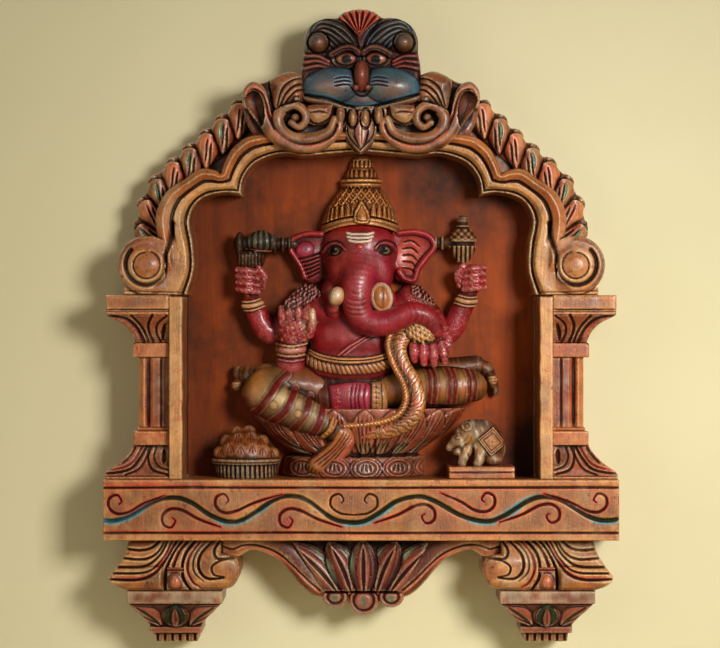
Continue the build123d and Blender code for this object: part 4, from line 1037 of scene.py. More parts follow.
def make_crest_mask():
    relief, x, z = sheet("crest_mask", 0.6, 56, "maroon")
    relief.height = 0 * x + np.interp(z, [350, 366, 400, 420, 440, 451], [60, 62, 62, 62, 58, 54])
    strands = [
        [(-50, 424), (-46, 434.5), (-35, 440), (-16.6, 435.5), (-6.0, 425.5), (-2.2, 414)],
        [(-48, 427), (-38.4, 435.6), (-20.2, 430.3), (-9.5, 421), (-5.4, 412)],
        [(-44, 429.3), (-35, 431.4), (-25, 427), (-13.6, 418), (-9.2, 411.6)],
        [(-38, 428), (-28, 423.6), (-18.5, 415.4), (-13.4, 411.4)],
        [(-32.5, 423), (-27, 418), (-21, 411.6)],
        [(-31, 416), (-27, 412), (-25, 409)],
    ]
    for side in (-1, 1):
        # hair curls: two sweeping masses of cut strands that end in a ball
        mass = region(x, z, smooth(flipped(side, ((2, 414), (9, 427), (20, 441), (36, 443), (50, 434),
                                                  (55, 420), (52, 408), (38, 408), (22, 411), (2, 414)))))
        inside = mass < 0
        relief.level(inside, 60 + 11 * pillow(mass, 11))
        relief.fill("bronze", inside)
        relief.brush("black", 0.6 * inside)
        for strand in strands:
            line = smooth(flipped(-side, strand))
            relief.groove(line, 3.0, 3.0, "black", taper=0.35)
            shine = relief.away(line + np.array([side * 0.4, 2.4]))
            relief.brush("blue" if side > 0 else "slate",
                         (0.8 if side > 0 else 0.5) * bell(shine, 0.8) * (z < 439))
        ball = spot(relief, side * 41, 418, 9.4, 9.4)
        relief.level((ball > 1) & (ball < 1.2), relief.height - 3.5)
        relief.brush("dark", bell(ball - 1.08, 0.07))
        dome(relief, ball, 62, 15, "bronze")
        relief.patch("slate", 0.5, side * 41 - 3, 421, 5, 5)
        relief.patch("tan", 0.6, side * 41 + 2, 416, 4.5, 5)
        # ruff beside the eye
        for k in range(3):
            line = smooth([(side * 31, 400 - 3.2 * k), (side * 42, 405 - 4.6 * k),
                           (side * 55.5, 405 - 6.0 * k)])
            band(relief, line, 5.2, 60, 5.0, "maroon")
            relief.brush("red", 0.8 * bell(relief.beside(line) * side - 0.6,
                                           0.8) * (np.abs(x - side * 43) < 12.5))
        # cheek
        cheek = spot(relief, side * 27, 376.5, 30.5, 18.5, side * -6)
        dome(relief, cheek, 58, 21, "slate", power=0.45)
        relief.brush("blue", 0.55 * (cheek < 1) * ramp(cheek, 0.55, 1.0))
        relief.patch("tan", 0.55, side * 30, 372, 13, 8)
    chin = spot(relief, 0, 366, 30, 13)
    dome(relief, chin, 60, 8, "slate", power=0.4)
    relief.patch("tan", 0.4, 3, 364, 12, 4)
    relief.mottle("teal", 0.25 * (spot(relief, 0, 374, 56, 20) < 1), 7, 75, 0.1, 0.9)
    for side in (-1, 1):
        # eye under its brow
        lid = smooth([(side * 2, 409), (side * 9, 413.5), (side * 18, 413), (side * 28, 407.5)])
        socket = spot(relief, side * 15, 402.5, 13.5, 9)
        relief.level(socket < 1, 63 + 2 * socket**2)
        relief.brush("brown", ramp(-socket, -1.05, -0.9))
        eye = spot(relief, side * 14.5, 403, 9.8, 6.4)
        relief.level(eye < 1, 66 + 4 * half_round(eye))
        relief.brush("petal", ramp(-eye, -1.0, -0.9))
        relief.patch("cream", 0.6 * (eye < 1), side * 20, 402, 4, 4)
        relief.brush("black", bell(eye - 1.05, 0.10))
        pupil = spot(relief, side * 14.0, 401.6, 5.6, 4.8)
        relief.brush("black", ramp(-pupil, -1.0, -0.8))
        relief.patch("blue", 0.35, side * 13.2, 398.2, 2.4, 0.9)
        band(relief, lid + np.array([0, -1.0]), 6.6, 69, 5.5, "maroon")
        relief.brush("brown", 0.7 * bell(relief.away(lid), 1.2))
        relief.groove(lid + np.array([0, 2.4]), 1.6, 2.0, "black", taper=0.4)
        relief.groove(lid + np.array([0, -2.2]), 1.4, 1.6, "black", taper=0.4)
        for k in range(3):
            line = smooth([(side * 9.5, 383.8 - 3.7 * k), (side * 17, 384.2 - 3.7 * k),
                           (side * 26, 382.5 - 3.7 * k)])
            relief.groove(line, 2.0, 2.2, "maroon", taper=0.8)
            relief.brush("blue", 0.75 * ramp(-relief.away(line + np.array([0, 1.6])), -0.9, -0.3))
    nose = spot(relief, 0.4, 386, 7.6, 15)
    dome(relief, nose, 68, 17, "petal")
    relief.patch("terracotta", 0.5, -2, 390, 4, 10)
    relief.brush("black", bell(nose - 1.06, 0.07))
    for side in (-1, 1):
        dome(relief, spot(relief, 0.6 + side * 5.6, 374.5, 4.2, 3.6), 70, 9, "petal")
    relief.patch("red", 0.4, 0.4, 380, 4, 9)
    relief.cut([(-10, 375), (-4, 368), (4, 367), (11, 374)], 2.0, 2.2, "black", taper=0.5)
    # upper lip and mouth
    mouth = smooth([(-56, 368), (-45, 366), (-31, 363.6), (-14, 357.6), (0.5, 355.4), (15, 357.6),
                    (32, 362), (45, 365.4), (56, 368.5)])
    lip = mouth + np.array([0, -4.6])
    band(relief, lip, 8.6, 64, 9.5, "tan")
    relief.groove(mouth, 3.6, 3.6, "black")
    relief.brush("blue", 0.9 * ramp(-relief.away(mouth + np.array([0, 2.2])), -1.5, -0.6))
    relief.brush("teal", 0.7 * ramp(-relief.away(mouth + np.array([0, -2.6])), -0.9, -0.3))
    # fan of flutes on top
    fan = region(x, z, smooth([(-2, 424), (-13, 436), (-22, 442.5), (-15, 448.5), (-3, 451), (10, 449),
                               (19, 443), (10, 435), (-2, 424)]))
    apex = (-1.5, 424.5)
    angle = np.degrees(np.arctan2(z - apex[1], x - apex[0]))
    flute = np.abs(((angle - 90) / 15.5 + 0.5) % 1 - 0.5) * 2
    inside = fan < 0
    relief.level(inside, 63 + 4 * pillow(fan, 6) + 5.0 * (1 - flute**1.5) - 2.5)
    relief.fill("ember", inside)
    relief.brush("black", inside * ramp(flute, 0.5, 0.95))
    relief.brush("tan", 0.6 * inside * ramp(-flute, -0.25, 0.0))
    outline = region(x, z, smooth([(0, 353), (-16, 354), (-34, 357.5), (-52, 361), (-58, 370), (-58, 381),
                                   (-57, 396), (-55, 409), (-55, 424),
                                   (-48, 435.5), (-36, 441.5), (-24, 442.5), (-17, 447.5), (-3, 450.8),
                                   (11, 449.3), (20, 443.5), (36, 441.5),
                                   (48, 435), (54.5, 423), (55, 409), (57, 396), (58, 381), (58, 370),
                                   (52, 361), (34, 357), (16, 353.5), (0, 353)]))
    carving = shape_relief(relief, outline, 14, 6.0)
    one_piece(carving, "crest_mask", MASK, "crest_wood")


def make_crest_pendant():
    low, _ = box_mm("crest_pendant")
    relief = Relief(-50, 50, low[2], 359, 0.6, 66, "brown")
    x, z = relief.x, relief.z
    relief.height = 70 + 0 * x + 0 * z
    leaf = smooth([(0, 352), (0, 335), (-0.5, 311.5)])
    relief.leaf(leaf, 30, 9, 70, "tan", "bronze", vein=0, belly=0.45, point=0.7)
    relief.cut([(-13, 341), (-12, 328), (-1, 314)], 2.2, 2.2, "dark")
    relief.cut([(13, 341), (11.5, 328), (-1, 314)], 2.2, 2.2, "dark")
    relief.leaf(smooth([(0, 343), (0, 330), (0, 316)]), 14.5, 4.5, 76, "terracotta", "black", vein=0.6,
                belly=0.45)
    for tooth_x in (-19.6, -8.0, 4.0, 16.6):
        tooth = spot(relief, tooth_x, 344.5 + 0.012 * tooth_x**2, 4.3, 8.4)
        relief.level((tooth < 1.35) & (tooth > 1), relief.height - 3.5)
        relief.brush("black", bell(tooth - 1.12, 0.12))
        dome(relief, tooth, 72, 10, "tan")
        relief.patch("ivory", 0.65, tooth_x + 0.5, 344, 2.4, 5)
    for side in (-1, 1):
        fang = region(x, z, smooth(flipped(side, ((27, 358), (30, 347), (38, 341), (45, 341), (51, 347.5),
                                                  (56, 356), (44, 358), (27, 358)))))
        relief.level(fang < 0, 73 + 6 * pillow(fang, 5))
        relief.fill("cream", fang < 0)
        relief.patch("ivory", 0.8 * (fang < 0), side * 43, 345.5, 8, 3.2)
        relief.brush("petal", 0.8 * (fang < 0) * ramp(z, 347, 354))
        relief.cut([(side * 31, 349), (side * 39, 351), (side * 49, 350)], 2.2, 1.6, "brown", taper=0.6)
        relief.brush("black", bell(fang - 0.6, 0.8))
    leaf_outline = region(x, z, smooth([(-24, 356), (-25, 343), (-17, 336), (-14.5, 325), (-8, 315),
                                        (-0.5, 310.8), (7, 315), (13.5, 325), (16, 336),
                                        (22, 343), (22, 356), (-24, 356)]))
    fangs = [region(x, z, smooth(flipped(side, ((25, 359), (28, 344), (39, 339), (50, 340), (56, 350),
                                                (46, 359), (25, 359)))))
             for side in (-1, 1)]
    outline = np.minimum(leaf_outline, np.minimum(*fangs))
    carving = shape_relief(relief, outline, 60, 3.5)
    one_piece(carving, "crest_pendant", CREST, "crest_wood")


make_crest_scrolls()
make_crest_mask()
make_crest_pendant()


# ---- rounded bodies ----------------------------------------------------------------------------------
class Body(Relief):
    """A rounded solid in a box, as a grid of distances; its height map is the detail laid on its front."""

    def __init__(self, low, high, paint, step=FINE):
        super().__init__(low[0], high[0], low[2], high[2], step, 0.0, paint)
        self.depth = np.arange(low[1] - 3 * step, high[1] + 3 * step, step)
        self.low = np.array([self.x[0, 0], self.depth[0], self.z[0, 0]])
        self.field = np.full((len(self.x), len(self.depth), self.z.shape[1]), 9.0, np.float32)

    def merge(self, low, high, shape, blend=0.0, cut=False, into=None):
        """Joins a shape between two corners to the body, or cuts it away; blend rounds the joint."""
        field = self.field if into is None else into
        reach = 4 + blend
        first = np.clip(np.floor((np.array(low) - reach - self.low) / self.step), 0, None).astype(int)
        last = np.maximum(np.ceil((np.array(high) + reach - self.low) / self.step).astype(int), first)
        part = tuple(slice(a, b) for a, b in zip(first, last))
        here = -field[part] if cut else field[part]
        there = shape(self.x[part[0], :, None], self.depth[None, part[1], None], self.z[:, None, part[2]])
        mixed = np.minimum(here, there)
        if blend:
            mixed = mixed - blend / 4 * np.clip(1 - np.abs(here - there) / blend, 0, 1) ** 2
        field[part] = -mixed if cut else mixed

    def ball(self, centre, radii, tilt=0.0, **how):
        """Joins an egg; tilt turns it counterclockwise in the front view, in degrees."""
        centre, radii = np.array(centre, float), np.array(radii, float)
        cos, sin = math.cos(math.radians(tilt)), math.sin(math.radians(tilt))

        def shape(x, d, z):
            x, d, z = x - centre[0], d - centre[1], z - centre[2]
            along = (x * cos + z * sin, d, z * cos - x * sin)
            near = np.sqrt(sum((a / r) ** 2 for a, r in zip(along, radii)))
            slope = np.sqrt(sum((a / r**2) ** 2 for a, r in zip(along, radii)))
            return near * (near - 1) / np.maximum(slope, 1e-6)

        self.merge(centre - radii.max(), centre + radii.max(), shape, **how)

    def limb(self, points, radii, flat=1.0, blend=0.0, cut=False):
        """Joins a round limb along a line through (x, d, z) points; flat under 1 squashes it in depth."""
        line = smooth(np.column_stack([np.array(points, float), radii]), 5)
        own = np.full_like(self.field, 9.0)
        for start, end in zip(line, line[1:]):
            way = (end - start)[:3] * (1, 1 / flat, 1)
            grow = end[3] - start[3]

            def shape(x, d, z, start=start, way=way, grow=grow):
                x, d, z = x - start[0], (d - start[1]) / flat, z - start[2]
                t = np.clip((x * way[0] + d * way[1] + z * way[2]) / (way @ way), 0, 1)
                away = np.sqrt((x - t * way[0]) ** 2 + (d - t * way[1]) ** 2 + (z - t * way[2]) ** 2)
                return away - start[3] - t * grow

            reach = max(start[3], end[3])
            self.merge(np.minimum(start, end)[:3] - reach, np.maximum(start, end)[:3] + reach, shape,
                       into=own)
        here = -self.field if cut else self.field
        mixed = np.minimum(here, own)
        if blend:
            mixed = mixed - blend / 4 * np.clip(1 - np.abs(here - own) / blend, 0, 1) ** 2
        self.field = -mixed if cut else mixed

    def strap(self, line, width, rise, paint=None, strength=1.0):
        """A rounded band laid on the front along a line."""
        away = near_line(self.x, self.z, line)[0] / (width / 2)
        self.height = np.maximum(self.height, rise * half_round(away))
        if paint:
            self.brush(paint, strength * ramp(-away, -1.05, -0.85))

    def knob(self, x, z, wide, tall, rise, paint=None, tilt=0.0):
        """A rounded boss laid on the front."""
        away = spot(self, x, z, wide, tall, tilt)
        self.height = np.maximum(self.height, rise * half_round(away))
        if paint:
            self.brush(paint, ramp(-away, -1.1, -0.9))
        return away

    def carve(self, back=12.0):
        """The finished solid, flat at the back; the detail is laid on where the surface faces the front."""
        facing = np.clip(1.6 * np.gradient(self.field, self.step, axis=1), 0, 1)
        field = self.field - self.height[:, None, :] * facing
        field = np.maximum(field, back - self.depth[None, :, None])
        return Carving(self.low, field.astype(np.float32), self.step, self)


def stripes(relief, lines, width, rise, paint, rim="cream"):
    """Painted raised stripes with a pale outline."""
    for line in lines:
        relief.strap(line, width, rise)
        away = near_line(relief.x, relief.z, line)[0]
        relief.brush(rim, 0.6 * bell(away - width / 2, 0.5))
        relief.brush(paint, ramp(-away, -width / 2, 0.6 - width / 2))
        relief.brush("dark", 0.7 * bell(away - width / 2 - 1.5, 0.6))


# ---- figure ------------------------------------------------------------------------------------------
def make_head():
    head = Body((-43, 11, 124), (84, 84, 248), "skin", 0.7)
    x, z = head.x, head.z
    head.ball((-2, 27, 218), (38, 24, 30), blend=0)
    head.ball((-1, 38, 224), (31, 20, 22), blend=10)
    head.ball((-17, 38, 202), (15, 17, 23), tilt=-14, blend=9)
    head.ball((16, 38, 202), (15, 17, 23), tilt=14, blend=9)
    head.limb([(-2, 38, 212), (-3, 50, 194), (-4, 57, 176), (-3, 61, 162), (6, 63, 150), (23, 64, 149),
               (38, 66, 155), (52, 68, 159),
               (65, 66, 153), (72, 63, 142)], [21, 18.5, 15, 13.5, 13, 12.5, 11.5, 10.5, 9.5, 8.0], blend=7)
    head.ball((-25, 40, 163), (11, 14, 13), tilt=-15, blend=5)
    head.ball((-30, 30, 180), (9, 14, 12), blend=6)
    head.ball((22, 38, 172), (12, 14, 12), blend=6)
    # maroon over the left of the face is painted shade; magenta on the right and on the trunk is painted
    # light on the red lacquer
    head.patch("maroon", 0.75, -27, 200, 16, 30)
    head.patch("magenta", 0.7, 12, 190, 22, 40)
    head.patch("magenta", 0.6, 30, 152, 30, 12)
    head.patch("terracotta", 0.35, -12, 205, 16, 14)
    head.patch("ember", 0.22, -26, 203, 12, 20)
    head.mottle("maroon", 0.5, 13, 2, 0.0, 0.8)
    head.patch("brown", 0.5, -20, 232, 22, 9)
    # darker along the head's outer edges: painted shade
    head.brush("dark", 0.55 * bell(spot(head, -34, 206, 8, 26)) + 0.45 * bell(spot(head, 33, 204, 6, 24)))
    head.brush("red", 0.45 * bell(head.away(smooth([(-36, 236), (-20, 241), (0, 243), (20, 241),
                                                    (36, 236)])), 3.0))
    for side, ex, ez in ((-1, -25.4, 219.0), (1, 23.4, 219.6)):
        head.knob(ex, ez, 9.5, 6.0, 0.9, tilt=-14 * side)
        head.knob(ex, ez, 5.6, 4.6, 0.7)
        q = spot(head, ex, ez, 7.0, 5.0, -14 * side)
        head.brush("black", ramp(-q, -1.22, -1.05))
        iris = spot(head, ex, ez - 0.2, 5.2, 4.7)
        head.brush("bronze", 0.8 * ramp(-q, -0.95, -0.8))
        head.brush("black", ramp(-iris, -1.1, -0.9))
        # a gold arc on the iris's lower right: painted reflection; the chalk dot after it: painted glint
        head.brush("gilding", 0.55 * bell(iris - 0.66, 0.1) * ramp(x - z, ex - ez, ex - ez + 4))
        head.patch("chalk", 0.6, ex + 1.2, ez + 1.3, 0.7, 0.7)
        lid = smooth([(ex - side * 9.5, ez + 3.0), (ex - side * 5.5, ez + 7.2), (ex + side * 1.0, ez + 8.8),
                      (ex + side * 8.0, ez + 6.0),
                      (ex + side * 12, ez + 0.5)])
        head.strap(lid + np.array([0, -2.2]), 3.4, 2.0)
        head.groove(lid + np.array([0, 0.6]), 2.8, 1.2, "black", taper=0.6, strength=0.95)
        for k in range(2):
            bag = smooth([(ex - 7 + side, ez - 6.5 - 2.4 * k), (ex, ez - 8.8 - 2.4 * k),
                          (ex + 7 + side, ez - 6.2 - 2.4 * k)])
            head.groove(bag, 1.6, 0.7, "maroon", taper=0.9, strength=0.6)
    for height, half in ((234.8, 12.5), (231.2, 12.0), (227.6, 10.6)):
        line = smooth([(-0.8 - half, height + 0.9), (-0.8 - half / 2, height - 0.3),
                       (-0.8 + half / 2, height - 0.2), (-0.8 + half, height + 1.2)])
        head.strap(line, 2.3, 1.0, "chalk")
    head.knob(-0.8, 222.6, 3.4, 2.6, 1.2, "red")
    for height, half in ((178.6, 6), (172.0, 9), (167.2, 9.5), (162.6, 10), (158.0, 9.5)):
        line = smooth([(-4 - half, height + 1.6), (-4 - half / 2, height - 0.8),
                       (-4 + half / 2, height - 1.0), (-4 + half, height + 1.4)])
        head.groove(line, 2.6, 1.3, "maroon", taper=0.8, strength=0.75)
        # pink along one side of each wrinkle: painted highlight
        head.brush("pink", 0.55 * bell(head.beside(line) + 1.7, 0.7) * (np.abs(x + 4) < half))
    for k in range(5):
        middle = np.array([46.0 + 5.5 * k, 157.5 - 0.6 * k * k])
        line = smooth([middle + (-1.5 - 0.4 * k, 9.0), middle + (2.0, 0), middle + (-1.0 - 0.8 * k, -9.0)])
        head.groove(line, 2.0, 0.9, "maroon", taper=0.8, strength=0.6)
    head.cut([(-35, 163), (-30, 158.5), (-23, 159), (-17, 164)], 2.4, 1.6, "maroon", taper=0.7)
    head.knob(-25.5, 165.5, 2.2, 2.2, 1.0, "red")
    head.roughen(0.25, 4, 5)
    one_piece(head.carve(), "elephant_head", SKIN, "skin_lacquer")


def make_tusks():
    tusks = Body((-36, 40, 154), (36, 80, 192), "ivory", 0.6)
    tusks.ball((-23.5, 62, 174.5), (7.6, 9, 9.6), tilt=-15)
    tusks.ball((19.8, 60, 173.5), (11.2, 12, 14.6), tilt=6)
    tusks.height -= 1.0 * bell(spot(tusks, 20.5, 174, 1.9, 9.5))
    ring = spot(tusks, 19.6, 173.5, 8.4, 12.4, 6)
    tusks.height -= 1.3 * ramp(-ring, -1.05, -0.85)
    tusks.brush("gold", 0.9 * ramp(-ring, -1.0, -0.8))
    tusks.patch("dark", 0.85, 21.0, 174, 1.5, 8.5)
    tusks.brush("dark", 0.5 * bell(ring - 1.0, 0.09))
    tusks.brush("bone", 0.85 * bell(ring - 1.16, 0.1))
    # pale bone on the left tusk: its ivory made paler, with a painted highlight
    tusks.patch("bone", 0.8, -24, 176, 6, 7)
    tusks.patch("gold", 0.6, -21, 168, 4, 4)
    tusks.patch("olive", 0.5, -30, 179, 3, 4)
    one_piece(tusks.carve(), "tusks", CLOTH, "ivory_lacquer")


def make_ears():
    left = Relief(-74, -28, 184, 242, 0.7, 30, "maroon")
    x, z = left.x, left.z
    left.height = 26 + 6 * bell(spot(left, -52, 216, 22, 20)) + 0 * x
    left.patch("skin", 0.7, -50, 226, 20, 12)
    rim = smooth([(-39, 236), (-53, 236), (-66, 231), (-69.5, 222), (-63.5, 211.5), (-58, 202),
                  (-54.5, 194)])
    band(left, rim, 7, 29, 5.5, "skin")
    left.patch("magenta", 0.8, -55, 219, 8, 6)
    dome(left, spot(left, -54.5, 219.5, 9.5, 8.5, 20), 30, 5, "magenta")
    left.patch("slate", 0.4, -52, 221.5, 5, 4)
    for k in range(6):
        line = smooth([(-61 + 1.6 * k, 211 - 3.6 * k), (-50, 213.5 - 4.0 * k), (-40, 217 - 3.6 * k)])
        left.groove(line, 2.4, 2.2, "black", taper=0.8)
        left.brush("skin", 0.8 * bell(left.beside(line) + 1.6, 0.8) * (x > -60) * (x < -41))
    outline = region(x, z, smooth([(-30, 238), (-42, 238.6), (-54, 238.5), (-67.5, 233), (-72, 222.5),
                                   (-66, 211), (-60, 201.5), (-57.5, 191.5),
                                   (-49, 187.5), (-38, 190), (-30, 196), (-30, 238)]))
    one_piece(shape_relief(left, outline, 12, 3.5), "ear_left", SKIN, "skin_lacquer")

    right = Relief(28, 76, 184, 242, 0.7, 30, "skin")
    x, z = right.x, right.z
    cup = spot(right, 50, 217, 17, 20, -25)
    right.height = 31 - 4 * np.clip(1 - cup**2, 0, 1)
    right.brush("orange", 0.85 * ramp(-cup, -1.0, -0.6))
    right.patch("red", 0.6, 50, 223, 9, 5)
    rim = smooth([(37, 237), (53, 238), (67, 233), (71.5, 222.5), (63, 211.5), (56, 201.5), (52, 191),
                  (43, 192), (37, 199)])
    band(right, rim, 7.5, 30, 6, "skin")
    right.patch("magenta", 0.5, 62, 228, 9, 6)
    for k in range(5):
        line = smooth([(40, 227 - 6.0 * k), (49, 229 - 7.0 * k), (57.5 - 1.4 * k, 223 - 6.6 * k)])
        right.groove(line, 2.2, 1.8, "maroon", taper=0.8)
        right.brush("orange", 0.9 * bell(right.beside(line) + 1.7, 0.9) * (x < 58))
    outline = region(x, z, smooth([(30, 238), (42, 240), (54, 240.5), (68, 236), (74.5, 224), (66, 210),
                                   (58.5, 200), (54.5, 188.5), (43, 188),
                                   (32, 197), (30, 238)]))
    one_piece(shape_relief(right, outline, 12, 3.5), "ear_right", SKIN, "skin_lacquer")


def make_crown():
    crown = Body((-44, 11, 230), (42, 66, 315), "gold", 0.6)
    x, z = crown.x, crown.z
    heights = [228, 240, 248, 262, 274, 281, 284, 288, 290, 296, 299.5, 302, 308, 314]
    widths = [38.5, 39, 37.5, 32.5, 25, 19, 20.5, 20.5, 17, 15, 12.6, 12.4, 10.0, 5.0]
    lean = [235, 312], [-1.0, 1.0]
    reach = np.interp(z, heights, widths)
    centre = np.interp(z, *lean)

    def shape(px, pd, pz):
        away = np.hypot(px - np.interp(pz, *lean), (pd - 14) / 1.12) - np.interp(pz, heights, widths)
        floor = 236.5 + 7.5 * np.clip(1 - (px / 36.0) ** 2, 0, 1) - pz
        return np.maximum(np.maximum(away * 0.8, floor), pz - 312)

    crown.merge((-44, 11, 230), (44, 64, 312), shape)
    u = np.arcsin(np.clip((x - centre) / reach, -1, 1)) * reach
    rim = 240.0 + 7.0 * np.clip(1 - (x / 36.0) ** 2, 0, 1)
    for rise, wide, low in ((0.8, 2.2, 0.6), (1.8, 2.0, 3.6)):
        away = np.abs(z - rim - low + 1.5) / wide
        crown.height = np.maximum(crown.height, rise * half_round(away))
    crown.brush("olive", 0.7 * bell(z - rim - 0.8, 2.0))
    crown.height -= 1.2 * bell(z - rim - 4.8, 0.7)
    crown.brush("dark", 0.8 * bell(z - rim - 4.8, 0.6))
    # row of upright leaves on the band
    base = rim + 5.5
    across = np.abs((u / 6.4 + 0.5) % 1 - 0.5) * 2
    up = (z - base) / 13.0
    leaf = across / np.clip(np.sqrt(np.clip(1 - up, 0, 1)) * 0.95, 0.02, 1)
    row = (up > 0) & (up < 1) & (np.abs(u) > 7.5)
    crown.height += np.where(row, 1.7 * half_round(leaf) - 0.9 * bell(leaf - 0.45, 0.16),
                             0)
    crown.brush("dark", 0.75 * row * ramp(leaf, 0.95, 1.15))
    crown.brush("dark", 0.5 * row * bell(leaf - 0.45, 0.14))
    # lattice above it, with a bead in every lozenge
    net = (z > base + 13) & (z < 281)
    pitch = 8.2
    rising = (z - 262) * 0.78
    first = np.abs(((u + rising) / pitch) % 1 - 0.5) * pitch
    second = np.abs(((u - rising) / pitch) % 1 - 0.5) * pitch
    nearest = np.minimum(first, second)
    crown.height += np.where(net, 1.5 * bell(nearest, 1.0) - 0.3, 0)
    middle = np.exp(-(((first - 4.1) ** 2 + (second - 4.1) ** 2) / 1.6))
    crown.height += np.where(net, 1.1 * middle, 0)
    crown.brush("dark", 0.6 * net * ramp(nearest, 1.0, 1.9) * (1 - ramp(middle, 0.1, 0.5)))
    # big leaf in the middle of the band
    tall = spot(crown, 0.6, 254, 6.6, 10.5)
    big = region(x, z, smooth([(-6.5, 246), (-6.8, 254), (-3.6, 261), (0.6, 267), (4.6, 261), (7.8, 254),
                               (7.5, 246), (0.6, 244.5), (-6.5, 246)]))
    crown.level(big < 0, 1.6 + 1.6 * pillow(big, 3.2))
    crown.height -= 1.2 * bell(big + 2.6, 0.6)
    crown.brush("dark", 0.8 * bell(big - 0.5, 0.6) + 0.6 * bell(big + 2.6, 0.5))
    crown.height += 0.8 * bell(spot(crown, 0.6, 252.5, 2.2, 4.0)) * (tall < 1)
    # rings and upper tiers
    for low, wide, rise in ((282.5, 2.2, 1.7), (287.5, 2.0, 1.7), (299.0, 1.8, 1.3), (308.5, 1.4, 0.9)):
        crown.height += rise * half_round((z - low) / wide)
    for low, tall, pitch in ((290, 8.5, 5.4), (300.5, 7.5, 4.6)):
        across = np.abs((u / pitch + 0.5) % 1 - 0.5) * 2
        up = (z - low) / tall
        leaf = across / np.clip(np.sqrt(np.clip(1 - up, 0, 1)), 0.02, 1)
        row = (up > 0) & (up < 1)
        crown.height += np.where(row, 1.3 * half_round(leaf), 0)
        crown.brush("dark", 0.7 * row * ramp(leaf, 0.85, 1.1))
    for low in (280.2, 285.0, 289.6, 297.4, 300.4):
        crown.brush("dark", 0.7 * bell(z - low, 0.6))
    # bronze towards the crown's sides: painted shade on its rounded flanks
    crown.brush("bronze", 0.55 * ramp(np.abs(x), 20, 38))
    crown.brush("brown", 0.35 * ramp(z, 285, 300))
    # a pale patch right of the middle: painted highlight
    crown.patch("cream", 0.3, 8, 262, 20, 16)
    one_piece(crown.carve(), "crown", GILT, "gilt_lacquer")


